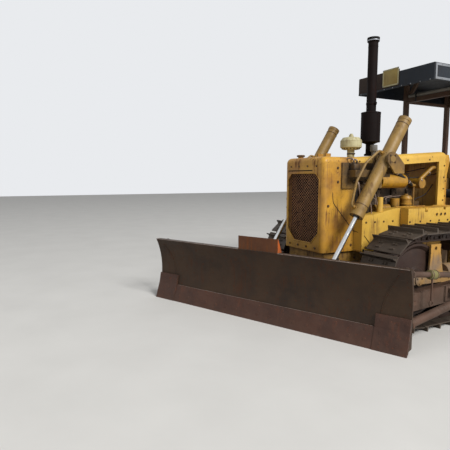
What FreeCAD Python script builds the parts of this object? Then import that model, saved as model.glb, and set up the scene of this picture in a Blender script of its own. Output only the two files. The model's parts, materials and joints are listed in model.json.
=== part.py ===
import FreeCAD, Part
import math
import os

import Sketcher
from FreeCAD import Placement, Rotation, Vector

# A crawler tractor with an angling blade, in millimetres.
# -Y is forward, +X is the machine's left, +Z is up, and the tracks stand on Z = 0.

SIZES = (
    # alias, value, what it measures
    ("nose_front", -1225, "y of the radiator guard's front face"),
    ("guard_half", 368, "half the width of radiator guard and hood"),
    ("guard_depth", 465, "radiator guard, front to back"),
    ("guard_bottom", 790, "underside of the radiator guard"),
    ("guard_top", 1880, "top of the radiator guard"),
    ("guard_edge", 58, "radius of the guard's upright front edges"),
    ("guard_crown", 64, "radius of the guard's and hood's top edges"),
    ("guard_wall", 12, "thickness of the guard's plates"),
    ("grille_half", 295, "half the width of the grille opening"),
    ("grille_low", 885, "lower edge of the grille opening"),
    ("grille_high", 1695, "upper edge of the grille opening"),
    ("grille_clip_low", 130, "cut lower corners of the grille opening"),
    ("grille_clip_high", 70, "cut upper corners of the grille opening"),
    ("mesh_lap", 14, "how far the mesh laps behind the guard"),
    ("mesh_thick", 6, "thickness of the mesh"),
    ("diamond_wide", 92, "pitch of the mesh's diamonds across"),
    ("diamond_high", 74, "pitch of the mesh's diamonds upwards"),
    ("diamond_bar", 16, "width of the mesh's strands"),
    ("core_front", 60, "radiator core behind the guard's face"),
    ("core_thick", 140, "radiator core, front to back"),
    ("core_half", 300, "half the width of the radiator core"),
    ("core_top", 1800, "top of the radiator core"),
    ("hood_rear", 2040, "hood's rear edge behind the nose"),
    ("hood_rise", 106, "how much the hood rises to the rear"),
    ("hood_sheet", 10, "thickness of the hood's sheet"),
    ("hood_lip", 125, "height of the hood's side rails"),
    ("hood_post", 130, "width of the hood's rear posts"),
    ("cowl_depth", 130, "instrument cowl, front to back"),
    ("cowl_bottom", 1100, "lower edge of the instrument cowl"),
    ("cowl_half", 335, "half the width of the instrument cowl"),
    ("engine_front", 560, "front of the engine's block behind the nose"),
    ("engine_rear", 1750, "rear of the engine's block behind the nose"),
    ("block_half", 215, "half the width of the engine's block"),
    ("head_half", 150, "half the width of the cylinder head"),
    ("cover_half", 110, "half the width of the valve cover"),
    ("block_low", 700, "underside of the engine's block"),
    ("head_low", 1338, "underside of the cylinder head"),
    ("cover_low", 1560, "underside of the valve cover"),
    ("cover_top", 1700, "top of the valve cover"),
    ("fitting_seat", 1236, "top of the shelf that the filters stand on"),
    ("box_front", 1075, "front of the side boxes behind the nose"),
    ("panel_out", 500, "outer face of the lower side panels"),
    ("box_out", 620, "outer face of the side boxes"),
    ("box_low", 1090, "underside of the side boxes"),
    ("box_top", 1280, "top of the side boxes"),
    ("half_gauge", 930, "track centre from the machine's centre"),
    ("shoe_width", 460, "width of a track shoe"),
    ("track_pitch", 203, "length of one track link"),
    ("shoe_count", 37, "track shoes on one side"),
    ("pitch_radius", 440, "radius of the chain's pins on sprocket and idler"),
    ("link_half", 52, "half the height of a track link"),
    ("shoe_thick", 13, "thickness of a track shoe"),
    ("grouser", 52, "height of a grouser over its shoe"),
    ("rail_offset", 95, "track rail from the track's centre"),
    ("rail_width", 40, "width of a track rail"),
    ("idler_back", 728, "idler axle behind the nose"),
    ("wheel_gap", 0.3, "gap between wheels or rollers and the rails"),
    ("idler_half", 118, "half the width of the idler's rim"),
    ("idler_hub", 124, "half the width of the idler's hub"),
    ("flange_half", 62, "half the width of the idler's middle flange"),
    ("flange_rise", 20, "height of the idler's middle flange"),
    ("sprocket_teeth", 27, "teeth of a sprocket"),
    ("tooth_half", 36, "half the thickness of a sprocket tooth"),
    ("tooth_tip", 466, "radius of the sprocket's tooth tips"),
    ("tooth_root", 408, "radius of the sprocket's tooth roots"),
    ("roller_radius", 100, "radius of a track roller's treads"),
    ("carrier_radius", 80, "radius of a carrier roller"),
    ("roller_count", 5, "track rollers on one side"),
    ("frame_low", 235, "lower edge of the track frame's roller guards"),
    ("frame_mid", 400, "underside of the track frame's box"),
    ("frame_high", 580, "top of the track frame's box"),
    ("frame_half", 150, "half the width of the track frame"),
    ("frame_plate", 22, "thickness of the track frame's side plates"),
    ("frame_front", 1160, "front of the track frame's box behind the nose"),
    ("frame_rear", 2560, "rear of the track frame's box behind the nose"),
    ("pivot_back", 1900, "push frame pivot behind the nose"),
    ("pivot_high", 500, "height of the push frame pivot"),
    ("pivot_radius", 60, "radius of the push frame's pivot pins"),
    ("pin_play", 0.05, "radial play of pins in their bores"),
    ("side_gap", 8, "gap beside moving eyes and arms"),
    ("arm_inner", 1190, "inner face of the push arms"),
    ("arm_width", 100, "width of the push arms"),
    ("arm_half", 95, "half the height of the push arms"),
    ("eye_radius", 112, "outer radius of the arms' pivot eyes"),
    ("corner_back", 145, "inner side of the front beam beside the track"),
    ("beam_depth", 98, "front beam, front to back"),
    ("beam_low", 300, "underside of the front beam"),
    ("beam_high", 480, "top of the front beam"),
    ("blade_ahead", 630, "blade centre ahead of the nose"),
    ("blade_angle", 23.9, "angle of the blade, left end set back"),
    ("blade_over", 387.5, "how far each end of the blade passes the push arm, along the blade"),
    ("blade_high", 813, "height of the blade"),
    ("blade_hollow", 100, "depth of the blade's hollow face"),
    ("blade_sheet", 14, "thickness of the blade's sheet"),
    ("edge_high", 200, "height of the cutting edge"),
    ("edge_thick", 19, "thickness of the cutting edge"),
    ("bit_long", 330, "length of an end bit"),
    ("bit_high", 330, "height of an end bit"),
    ("guard_plate_half", 269, "half the width of the spill guard"),
    ("guard_plate_high", 157, "height of the spill guard over the blade"),
    ("strut_inset", 75, "strut eyes from the blade's ends"),
    ("strut_upper", 740, "height of the upper strut eyes on the blade"),
    ("strut_lower", 237, "height of the lower strut eyes on the blade"),
    ("strut_out", 150, "strut eyes behind the blade's chord"),
    ("lug_rear", 1600, "rear strut lugs behind the nose"),
    ("lug_middle", 940, "middle strut lugs behind the nose"),
    ("lug_front", 280, "front strut lugs behind the nose"),
    ("lug_thick", 40, "thickness of a strut lug on the push arm"),
    ("strut_pin", 22, "radius of the pins in the struts' rear eyes"),
    ("strut_eye", 60, "height of a strut's eye"),
    ("lug_out", 62, "strut pin from the push arm's outer face"),
    ("lift_across", 600, "lift cylinder from the machine's centre"),
    ("trunnion_back", 680, "lift cylinder's trunnion behind the nose"),
    ("trunnion_high", 1850, "height of the lift cylinder's trunnion"),
    ("trunnion_radius", 38, "radius of the trunnion pins"),
    ("lift_eye_ahead", 113, "rod eye ahead of the nose"),
    ("lift_eye_high", 620, "height of the rod eye"),
    ("barrel_radius", 72, "outer radius of the lift cylinder"),
    ("barrel_bore", 58, "bore radius of the lift cylinder"),
    ("barrel_below", 752, "cylinder from trunnion down to the gland's face"),
    ("barrel_above", 548, "cylinder from trunnion up to its cap"),
    ("rod_radius", 27, "radius of the cylinder rod"),
    ("rod_inside", 340, "rod inside the cylinder at rest"),
    ("rod_eye_radius", 52, "radius of the rod's eye"),
    ("rod_eye_half", 28, "half the width of the rod's eye"),
    ("ear_plate", 22, "thickness of the ears beside the rod's eye"),
    ("muffler_back", 1050, "exhaust behind the nose"),
    ("muffler_low", 2090, "underside of the muffler"),
    ("muffler_high", 2470, "top of the muffler"),
    ("muffler_radius", 120, "radius of the muffler"),
    ("stack_radius", 60, "radius of the exhaust stack"),
    ("stack_top", 3380, "top of the exhaust stack"),
    ("cleaner_back", 730, "air precleaner behind the nose"),
    ("cleaner_low", 1990, "underside of the precleaner's bowl"),
    ("cleaner_high", 2150, "top of the precleaner's bowl"),
    ("cleaner_radius", 130, "radius of the precleaner's bowl"),
    ("fan_radius", 260, "radius of the cooling fan"),
    ("fan_back", 330, "fan hub behind the nose"),
    ("fan_high", 1300, "height of the fan's axis"),
    ("fan_blades", 6, "blades of the cooling fan"),
    ("leaf_count", 4, "leaves of the equalizer spring"),
    ("leaf_thick", 20, "thickness of a leaf"),
    ("leaf_step", 170, "how much shorter each leaf is on either side"),
    ("rail_half_in", 250, "inner face of the main frame's rails"),
    ("rail_half_out", 330, "outer face of the main frame's rails"),
    ("pan_bottom", 430, "underside of the crankcase guard"),
    ("spring_back", 1180, "equalizer spring behind the nose"),
    ("spring_width", 110, "width of the equalizer spring's leaves"),
    ("case_front", 2450, "steering case's front behind the nose"),
    ("case_long", 970, "steering case, front to back"),
    ("case_half", 340, "half the width of the steering case"),
    ("case_low", 420, "underside of the steering case"),
    ("case_top", 1000, "top of the steering case"),
    ("drive_radius", 300, "radius of the final drive housings"),
    ("floor_high", 1095, "top of the driver's floor"),
    ("deck_high", 1155, "top of the fenders and rear deck"),
    ("deck_plate", 10, "thickness of floor and fenders"),
    ("floor_front", 2124, "front of the floor behind the nose"),
    ("deck_front", 2640, "front of the rear deck behind the nose"),
    ("deck_over", 60, "how far the deck passes the steering case"),
    ("seat_half", 310, "half the width of the seat"),
    ("seat_room", 550, "deck that the seat takes in front of the fuel tank"),
    ("cushion_thick", 120, "thickness of the seat's cushion"),
    ("arm_box", 100, "width of the boxes beside the seat"),
    ("lever_ahead", 170, "levers ahead of the deck's front"),
    ("seat_top", 1470, "top of the seat cushion"),
    ("back_top", 1860, "top of the seat's backrest"),
    ("tank_top", 1900, "top of the fuel tank"),
    ("tank_half", 480, "half the width of the fuel tank"),
    ("tank_depth", 280, "fuel tank, front to back"),
    ("tank_round", 60, "radius of the fuel tank's edges"),
    ("roof_front", 1420, "canopy's front edge behind the nose"),
    ("roof_rear", 3250, "canopy's rear edge behind the nose"),
    ("roof_half", 610, "half the width of the canopy"),
    ("roof_low", 2800, "lower edge of the canopy's fascia"),
    ("roof_top", 3000, "top of the canopy"),
    ("roof_sheet", 8, "thickness of the canopy's sheet"),
    ("beam_under", 2740, "underside of the canopy's cross beams"),
    ("trim_width", 26, "width of the bright frames on the roof's sides"),
    ("trim_thick", 6, "thickness of the bright frames on the roof's sides"),
    ("post_across", 470, "canopy posts from the machine's centre"),
    ("post_front", 2200, "front posts behind the nose"),
    ("post_size", 60, "width of a canopy post"),
    ("hitch_behind", 300, "drawbar pin behind the steering case"),
    ("hitch_radius", 27.5, "radius of the drawbar's pin hole"),
    ("hitch_thick", 50, "thickness of the drawbar"),
    ("hitch_low", 385, "underside of the drawbar"),
)

doc = FreeCAD.newDocument("CrawlerTractor")
sheet = doc.addObject("Spreadsheet::Sheet", "Sizes")
for row, (alias, value, meaning) in enumerate(SIZES, start=1):
    sheet.set("A%d" % row, alias)
    sheet.set("B%d" % row, str(value))
    sheet.setAlias("B%d" % row, alias)
    sheet.set("C%d" % row, meaning)
doc.recompute()


class Size:
    """A length or a count that knows both its number and its formula in the sheet."""

    def __init__(self, number, formula):
        self.number = float(number)
        self.formula = formula

    def __float__(self):
        return self.number

    def __add__(self, other):
        other = size(other)
        return Size(self.number + other.number, "(%s + %s)" % (self.formula, other.formula))

    def __sub__(self, other):
        other = size(other)
        return Size(self.number - other.number, "(%s - %s)" % (self.formula, other.formula))

    def __mul__(self, other):
        other = size(other)
        return Size(self.number * other.number, "(%s * %s)" % (self.formula, other.formula))

    def __truediv__(self, other):
        other = size(other)
        return Size(self.number / other.number, "(%s / %s)" % (self.formula, other.formula))

    def __radd__(self, other):
        return size(other) + self

    def __rsub__(self, other):
        return size(other) - self

    def __rmul__(self, other):
        return size(other) * self

    def __neg__(self):
        return size(0) - self


def size(value):
    """A plain number as a Size; a Size stays as it is."""
    if isinstance(value, Size):
        return value
    return Size(value, repr(float(value)))


class Sheet:
    """Every size of the sheet by its alias."""


S = Sheet()
for alias, value, meaning in SIZES:
    setattr(S, alias, Size(sheet.get(alias), "Sizes." + alias))


def tangent(angle):
    """Tangent of an angle in degrees, as a Size."""
    return Size(math.tan(math.radians(angle.number)), "tan(%s * 1 deg)" % angle.formula)


def vec(x, y, z):
    return Vector(float(x), float(y), float(z))


def bind(thing, prop, value):
    """Tie one property of a document object to its formula in the sheet."""
    thing.setExpression(prop, size(value).formula)


def place(thing, x, y, z):
    bind(thing, "Placement.Base.x", x)
    bind(thing, "Placement.Base.y", y)
    bind(thing, "Placement.Base.z", z)


def block(name, x0, x1, y0, y1, z0, z1):
    """A box between two corners."""
    box = doc.addObject("Part::Box", name)
    bind(box, "Length", size(x1) - x0)
    bind(box, "Width", size(y1) - y0)
    bind(box, "Height", size(z1) - z0)
    place(box, x0, y0, z0)
    return box


TURNS = {
    "x": Rotation(Vector(0, 1, 0), 90),
    "y": Rotation(Vector(1, 0, 0), -90),
    "z": Rotation(),
}


def rod(name, axis, x, y, z, radius, length):
    """A round bar that runs from a point along +axis."""
    bar = doc.addObject("Part::Cylinder", name)
    bind(bar, "Radius", radius)
    bind(bar, "Height", length)
    bar.Placement = Placement(Vector(), TURNS[axis])
    place(bar, x, y, z)
    return bar


def prism(name, plane, outline, start, end):
    """A padded sketch: plane YZ, XZ or XY, outline of (u, v) corners, between start and end."""
    body = doc.addObject("PartDesign::Body", name)
    sketch = body.newObject("Sketcher::SketchObject", name + "_sketch")
    role = plane + "_Plane"
    origin_plane = [part for part in body.Origin.OriginFeatures if part.Role == role][0]
    sketch.AttachmentSupport = [(origin_plane, "")]
    sketch.MapMode = "FlatFace"
    corners = [(size(u), size(v)) for u, v in outline]
    count = len(corners)
    for i, (u, v) in enumerate(corners):
        next_u, next_v = corners[(i + 1) % count]
        sketch.addGeometry(Part.LineSegment(vec(u, v, 0), vec(next_u, next_v, 0)), False)
    for i in range(count):
        sketch.addConstraint(Sketcher.Constraint("Coincident", i, 2, (i + 1) % count, 1))
    for i, (u, v) in enumerate(corners):
        for direction, value in (("DistanceX", u), ("DistanceY", v)):
            rule = Sketcher.Constraint(direction, -1, 1, i, 1, value.number)
            index = sketch.addConstraint(rule)
            sketch.setExpression("Constraints[%d]" % index, value.formula)
    pad = body.newObject("PartDesign::Pad", name + "_pad")
    pad.Profile = sketch
    pad.SideType = "Symmetric"
    bind(pad, "Length", size(end) - start)
    middle = (size(start) + end) / 2
    along = {"YZ": "x", "XZ": "y", "XY": "z"}[plane]
    bind(body, "Placement.Base." + along, middle)
    return body


def fuse(name, things):
    joined = doc.addObject("Part::MultiFuse", name)
    joined.Shapes = things
    return joined


def cut(name, base, tools):
    """A base with one or more tools taken out."""
    result = doc.addObject("Part::Cut", name)
    result.Base = base
    result.Tool = tools[0] if len(tools) == 1 else fuse(name + "_tools", tools)
    return result


def group(name, things):
    """Separate solids kept in one node."""
    together = doc.addObject("Part::Compound", name)
    together.Links = things
    return together


def shape(name, made):
    """A form that neither sketches nor primitives fit, made from the sheet's sizes."""
    feature = doc.addObject("Part::Feature", name)
    feature.Shape = made
    return feature


def revolve(profile, centre, axis):
    """A full turn of a closed profile in the plane of x (radius) and z (axis), set on an axis."""
    points = [vec(radius, 0, along) for radius, along in profile]
    face = Part.Face(Part.makePolygon(points + points[:1]))
    solid = face.revolve(Vector(), Vector(0, 0, 1), 360)
    solid.Placement = Placement(centre, TURNS[axis])
    return solid


def round_edges(body, name, radius, wanted):
    """Fillet the edges of a padded outline whose middle points pass a test."""
    doc.recompute()
    base = body.Tip
    names = []
    for index, edge in enumerate(base.Shape.Edges, start=1):
        middle = edge.valueAt((edge.FirstParameter + edge.LastParameter) / 2)
        if wanted(middle):
            names.append("Edge%d" % index)
    fillet = body.newObject("PartDesign::Fillet", name)
    fillet.Base = (base, names)
    bind(fillet, "Radius", radius)
    return body


def pipe(points, radius, bend):
    """A round tube along straight runs, with a bend of one radius at each corner."""
    edges = []
    start = points[0]
    for before, corner, after in zip(points, points[1:], points[2:]):
        back = (before - corner).normalize()
        ahead = (after - corner).normalize()
        half = back.getAngle(ahead) / 2
        reach = bend / math.tan(half)
        inward = (back + ahead).normalize()
        middle = corner + inward * (bend / math.sin(half) - bend)
        first = corner + back * reach
        last = corner + ahead * reach
        edges.append(Part.LineSegment(start, first).toShape())
        edges.append(Part.Arc(first, middle, last).toShape())
        start = last
    edges.append(Part.LineSegment(start, points[-1]).toShape())
    circle = Part.Wire(Part.makeCircle(radius, points[0], points[1] - points[0]))
    return Part.Wire(edges).makePipeShell([circle], True, False)


NODES = []


def node(label, thing):
    """Name a finished piece of the machine."""
    thing.Label = label
    NODES.append(thing)
    return thing


SIDES = ((1, "left"), (-1, "right"))
NOSE = S.nose_front


def span(side, near, far):
    """The low and the high x of a stretch that runs from near to far on one side."""
    return (side * size(near), side * size(far)) if side > 0 else (side * size(far), side * size(near))


AXLE = S.pitch_radius + S.link_half + S.shoe_thick + S.grouser
IDLER_Y = NOSE + S.idler_back
SPROCKET_Y = IDLER_Y + (S.shoe_count * S.track_pitch - 2 * math.pi * S.pitch_radius) / 2
RAIL_INNER = S.pitch_radius - S.link_half
RAIL_LOW = S.frame_high + S.leaf_count * S.leaf_thick
SHOE_BASE = S.pitch_radius + S.link_half
HUB_END = 112 - S.wheel_gap
PIVOT_Y = NOSE + S.pivot_back
HOOD_END = NOSE + S.hood_rear
HOOD_HIGH = S.guard_top + S.hood_rise


def hood_at(back):
    """Height of the hood's top at a distance behind the nose."""
    run = S.hood_rear - S.guard_depth
    return S.guard_top + S.hood_rise * (size(back) - S.guard_depth) / run


# Track: one closed loop, rails inside and shoes with a grouser each outside


def loop_wire(radius, x):
    """A closed line of two straights and two half circles round idler and sprocket."""
    radius = float(radius)
    front = vec(x, IDLER_Y, AXLE)
    rear = vec(x, SPROCKET_Y, AXLE)
    up = Vector(0, 0, radius)
    ahead = Vector(0, radius, 0)
    edges = [
        Part.LineSegment(front + up, rear + up).toShape(),
        Part.Arc(rear + up, rear + ahead, rear - up).toShape(),
        Part.LineSegment(rear - up, front - up).toShape(),
        Part.Arc(front - up, front - ahead, front + up).toShape(),
    ]
    return Part.Wire(edges)


def loop_frame(distance):
    """Point, direction and outward normal on the pin line at a distance from the top of the idler."""
    straight = SPROCKET_Y.number - IDLER_Y.number
    radius = S.pitch_radius.number
    turn = math.pi * radius
    distance = distance % (2 * straight + 2 * turn)
    if distance < straight:
        return IDLER_Y.number + distance, AXLE.number + radius, 0.0
    distance -= straight
    if distance < turn:
        angle = distance / radius
        centre = SPROCKET_Y.number
        return centre + radius * math.sin(angle), AXLE.number + radius * math.cos(angle), angle
    distance -= turn
    if distance < straight:
        return SPROCKET_Y.number - distance, AXLE.number - radius, math.pi
    angle = math.pi + (distance - straight) / radius
    centre = IDLER_Y.number
    return centre + radius * math.sin(angle), AXLE.number + radius * math.cos(angle), angle


def shoe_outline(x):
    """The outer line of the whole track: 37 plates, each with one grouser."""
    pitch = S.track_pitch.number
    rise = S.link_half.number
    plate = rise + S.shoe_thick.number
    tip = plate + S.grouser.number
    # along the link, out from the pin line
    section = ((-0.49, plate), (0.20, plate), (0.25, tip), (0.32, tip), (0.36, plate), (0.49, plate))
    points = []
    for i in range(int(S.shoe_count.number)):
        y, z, angle = loop_frame((i + 0.5) * pitch)
        for along, out in section:
            step = along * pitch
            points.append(
                Vector(
                    float(x),
                    y + step * math.cos(angle) + out * math.sin(angle),
                    z - step * math.sin(angle) + out * math.cos(angle),
                )
            )
    return Part.makePolygon(points + points[:1])


def band(outer, inner, width):
    face = Part.makeFace([outer, inner], "Part::FaceMakerBullseye")
    return face.extrude(Vector(float(width), 0, 0))


# Distances of the two carrier rollers behind the nose
CARRIERS = (1500, 2250)

for side, word in SIDES:
    centre = side * S.half_gauge
    low = centre - S.shoe_width / 2
    belt = band(shoe_outline(low), loop_wire(SHOE_BASE - 8, low), S.shoe_width)
    rails = []
    for offset in (-1, 1):
        rail = centre + offset * S.rail_offset - S.rail_width / 2
        rails.append(band(loop_wire(SHOE_BASE, rail), loop_wire(RAIL_INNER, rail), S.rail_width))
    node("track_" + word, shape("Track" + word.title(), belt.multiFuse(rails).removeSplitter()))

    # Idler: hub, dished side plates and a rim with a middle flange between the rails
    tread = RAIL_INNER - S.wheel_gap
    flange = tread + S.flange_rise
    profile = (
        (48, -S.idler_hub),
        (120, -S.idler_hub),
        (140, -100),
        (tread - 60, -86),
        (tread - 24, -S.idler_half),
        (tread, -S.idler_half),
        (tread, -S.flange_half),
        (flange, 12 - S.flange_half),
        (flange, S.flange_half - 12),
        (tread, S.flange_half),
        (tread, S.idler_half),
        (tread - 24, S.idler_half),
        (tread - 60, 86),
        (140, 100),
        (120, S.idler_hub),
        (48, S.idler_hub),
    )
    node("idler_" + word, shape("Idler" + word.title(), revolve(profile, vec(centre, IDLER_Y, AXLE), "x")))

    # Sprocket: toothed rim on a dished web with its outer hub
    teeth = int(S.sprocket_teeth.number)
    points = []
    for tooth in range(teeth):
        middle = 2 * math.pi * tooth / teeth
        pitch_angle = 2 * math.pi / teeth
        tooth = ((-0.34, S.tooth_root), (-0.12, S.tooth_tip), (0.12, S.tooth_tip), (0.34, S.tooth_root))
        for part, radius in tooth:
            angle = middle + part * pitch_angle
            points.append(Vector(0, float(radius) * math.cos(angle), float(radius) * math.sin(angle)))
    inside = Part.Wire(Part.makeCircle(350, Vector(), Vector(1, 0, 0)))
    rim = band(Part.makePolygon(points + points[:1]), inside, 2 * S.tooth_half)
    rim.Placement = Placement(vec(centre - S.tooth_half, SPROCKET_Y, AXLE), Rotation())
    profile = (
        (0, -30),
        (150, -30),
        (330, -24),
        (360, -S.tooth_half),
        (360, S.tooth_half),
        (330, 24),
        (180, 60),
        (150, HUB_END),
        (0, HUB_END),
    )
    profile = [(radius, side * size(out)) for radius, out in profile]
    dish = revolve(profile, vec(centre, SPROCKET_Y, AXLE), "x")
    wheel = rim.fuse(dish).removeSplitter()
    node("sprocket_" + word, shape("Sprocket" + word.title(), wheel))

    # Track frame: box with roller guards, idler fork, outer bearing at the sprocket and the pivot pin
    name = "TrackFrame" + word.title()
    pieces = []
    box_front = NOSE + S.frame_front
    box_rear = NOSE + S.frame_rear
    box_x = (centre - S.frame_half, centre + S.frame_half)
    pieces.append(block(name + "Box", *box_x, box_front, box_rear, S.frame_mid, S.frame_high))
    for offset, tag in ((-1, "In"), (1, "Out")):
        edge = S.frame_half - S.frame_plate if offset > 0 else -S.frame_half
        x0 = centre + edge
        x1 = x0 + S.frame_plate
        guard = (
            (box_front - 60, S.frame_mid),
            (box_front + 60, S.frame_low),
            (box_rear - 120, S.frame_low),
            (box_rear, S.frame_mid),
            (box_rear, S.frame_high),
            (box_front - 60, S.frame_high),
        )
        pieces.append(prism(name + "Guard" + tag, "YZ", guard, x0, x1))
        fork = (
            (IDLER_Y - 90, AXLE - 50),
            (box_front - 60, AXLE - 60),
            (box_front - 60, S.frame_high),
            (IDLER_Y - 90, AXLE + 50),
        )
        pieces.append(prism(name + "Fork" + tag, "YZ", fork, x0, x1))
    pieces.append(rod(name + "IdlerPin", "x", centre - S.frame_half, IDLER_Y, AXLE, 47.7, 2 * S.frame_half))
    tail = (
        (box_rear, S.frame_mid + 40),
        (SPROCKET_Y, AXLE - 90),
        (SPROCKET_Y, AXLE + 60),
        (box_rear, S.frame_high),
    )
    tail_span = span(side, S.half_gauge + S.frame_half - S.frame_plate, S.half_gauge + S.frame_half)
    pieces.append(prism(name + "Tail", "YZ", tail, *tail_span))
    cap_span = span(side, S.half_gauge + 112, S.half_gauge + 190)
    pieces.append(rod(name + "Cap", "x", cap_span[0], SPROCKET_Y, AXLE, 130, cap_span[1] - cap_span[0]))
    pin_span = span(side, S.half_gauge + S.frame_half - 10, S.arm_inner + S.arm_width + S.side_gap)
    boss_span = span(side, S.half_gauge + S.frame_half - 10, S.arm_inner - S.side_gap)
    disc_in = S.arm_inner + S.arm_width + S.side_gap
    disc_span = span(side, disc_in, disc_in + 16)
    for tag, (x0, x1), wider in (("Pin", pin_span, 0), ("Boss", boss_span, 35), ("Disc", disc_span, 25)):
        pieces.append(rod(name + tag, "x", x0, PIVOT_Y, S.pivot_high, S.pivot_radius + wider, x1 - x0))
    # round housing of the recoil spring on the box, and a drilled guide plate beside the outer rail
    recoil_y = NOSE + S.spring_back + S.spring_width + 10
    pieces.append(rod(name + "Recoil", "y", centre, recoil_y, S.frame_high - 10, 88, 420))
    guide = (
        (NOSE + 880, S.frame_high - 20),
        (NOSE + 1120, S.frame_high - 20),
        (NOSE + 1060, 850),
        (NOSE + 1060, 925),
        (NOSE + 900, 925),
        (NOSE + 900, 800),
    )
    guide_span = span(side, S.half_gauge + S.frame_half - S.frame_plate, S.half_gauge + S.frame_half)
    guide_plate = prism(name + "Guide", "YZ", guide, *guide_span)
    hole = rod(name + "GuideHole", "x", guide_span[0] - 1, NOSE + 980, 880, 20, S.frame_plate + 2)
    pieces.append(cut(name + "GuideDrilled", guide_plate, [hole]))
    # posts that hold the carrier rollers from the inner side
    post_span = span(side, S.half_gauge - 148, S.half_gauge - 122)
    carrier_z = AXLE + RAIL_INNER - S.carrier_radius - S.wheel_gap
    for index, back in enumerate(CARRIERS):
        y = NOSE + back
        top = carrier_z + 45
        pieces.append(block(name + "Post%d" % index, *post_span, y - 50, y + 50, S.frame_high, top))
    for index in range(int(S.roller_count.number)):
        y = box_front + 150 + index * (box_rear - box_front - 330) / (S.roller_count - 1)
        z = AXLE - RAIL_INNER + S.roller_radius + S.wheel_gap
        axle_start = centre - S.frame_half
        pieces.append(rod(name + "Axle%d" % index, "x", axle_start, y, z, 29.7, 2 * S.frame_half))
    # inner brace to the steering case
    brace_span = span(side, S.case_half, S.half_gauge - S.frame_half + 5)
    brace_y = NOSE + S.case_front + 10
    low, high = S.frame_mid + 30, S.frame_high - 30
    pieces.append(block(name + "Brace", *brace_span, brace_y, box_rear - 10, low, high))
    node("track_frame_" + word, fuse(name, pieces))

    # Rollers: five below with flanges, two carriers above
    rollers = []
    lower = S.roller_radius
    profile = (
        (30, -124),
        (lower, -124),
        (lower, -66),
        (lower + 16, -60),
        (lower + 16, 60),
        (lower, 66),
        (lower, 124),
        (30, 124),
    )
    for index in range(int(S.roller_count.number)):
        y = box_front + 150 + index * (box_rear - box_front - 330) / (S.roller_count - 1)
        z = AXLE - RAIL_INNER + S.roller_radius + S.wheel_gap
        rollers.append(shape("Roller%s%d" % (word, index), revolve(profile, vec(centre, y, z), "x")))
    carrier = S.carrier_radius
    # each carrier's shaft ends in the inner post
    profile = (
        (0, -122 * side),
        (28, -122 * side),
        (28, -118 * side),
        (carrier, -118 * side),
        (carrier, 118 * side),
        (0, 118 * side),
    )
    for index, back in enumerate(CARRIERS):
        carrier_wheel = revolve(profile, vec(centre, NOSE + back, carrier_z), "x")
        rollers.append(shape("Carrier%s%d" % (word, index), carrier_wheel))
    node("rollers_" + word, group("Rollers" + word.title(), rollers))

    # Final drive: bell-shaped housing between steering case and sprocket
    reach = S.half_gauge - 30 - S.wheel_gap
    wide = S.drive_radius + 60
    track_side = S.half_gauge - S.shoe_width / 2 - 20
    profile = (
        (0, S.case_half),
        (wide - 15, S.case_half),
        (wide - 15, S.case_half + 32),
        (wide - 50, S.case_half + 50),
        (wide - 70, track_side - 100),
        (wide - 40, track_side - 60),
        (wide, track_side - 50),
        (wide, track_side),
        (S.drive_radius, track_side + 14),
        (S.drive_radius - 20, reach),
        (0, reach),
    )
    profile = [(radius, side * size(out)) for radius, out in profile]
    housing = revolve(profile, vec(0, SPROCKET_Y, AXLE), "x")
    node("final_drive_" + word, shape("Drive" + word.title(), housing))

# Main frame: two rails, front cross beam, crankcase guard and its hangers, shelves for the side boxes

pieces = []
rail_top = S.guard_bottom
frame_start = NOSE + 60
for side, word in SIDES:
    x0, x1 = span(side, S.rail_half_in, S.rail_half_out)
    frame_end = NOSE + S.case_front
    pieces.append(block("Rail" + word.title(), x0, x1, frame_start, frame_end, RAIL_LOW, rail_top))
    for index, back in enumerate((420, 1500, 2250)):
        y = NOSE + back
        pieces.append(block("Hanger%s%d" % (word, index), x0, x1, y, y + 60, S.pan_bottom, RAIL_LOW))
    web0, web1 = span(side, S.rail_half_out - 14, S.rail_half_out)
    pieces.append(block("ShelfWeb" + word, web0, web1, NOSE + 1100, NOSE + 2100, rail_top, S.box_low - 15))
    shelf0, shelf1 = span(side, S.rail_half_out - 14, 620)
    shelf_front = NOSE + S.box_front
    shelf = block("Shelf" + word, shelf0, shelf1, shelf_front, NOSE + 2110, S.box_low - 15, S.box_low)
    pieces.append(shelf)
cross_half = S.rail_half_out
pieces.append(block("Cross", -cross_half, cross_half, frame_start, frame_start + 130, 560, rail_top))
pan = (
    (frame_start, 560),
    (NOSE + 330, S.pan_bottom),
    (NOSE + S.case_front, S.pan_bottom),
    (NOSE + S.case_front, S.pan_bottom + 20),
    (NOSE + 340, S.pan_bottom + 20),
    (frame_start + 30, 580),
    (frame_start, 580),
)
pieces.append(prism("Pan", "YZ", pan, -S.rail_half_out, S.rail_half_out))
node("main_frame", fuse("MainFrame", pieces))

# Equalizer spring: leaves that carry the frame on both track frames

leaves = []
for index in range(int(S.leaf_count.number)):
    half = S.half_gauge - index * S.leaf_step
    y = NOSE + S.spring_back
    z = S.frame_high + index * S.leaf_thick
    leaves.append(block("Leaf%d" % index, -half, half, y, y + S.spring_width, z, z + S.leaf_thick))
node("equalizer_spring", fuse("EqualizerSpring", leaves))

# Radiator guard: a deep rounded shell, open behind, with the grille's eight-sided opening

def guard_shell(name, inset, front, rear):
    """The guard's outline inset by a wall, with rounded upright front edges and a rounded crown."""
    half = S.guard_half - inset
    outline = (
        (-half, S.guard_bottom + inset),
        (half, S.guard_bottom + inset),
        (half, S.guard_top - inset),
        (-half, S.guard_top - inset),
    )
    body = prism(name, "XZ", outline, front, rear)
    depth = (size(rear) - front).number
    top = (S.guard_top - inset).number
    side_x = half.number

    def upright_front(point):
        return point.y < 1 - depth / 2 and abs(point.x) > side_x - 1

    def crown(point):
        return point.z > top - 1 and point.y < depth / 2 - 1

    round_edges(body, name + "Edges", S.guard_edge - inset, upright_front)
    return round_edges(body, name + "Crown", S.guard_crown - inset, crown)


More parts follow.
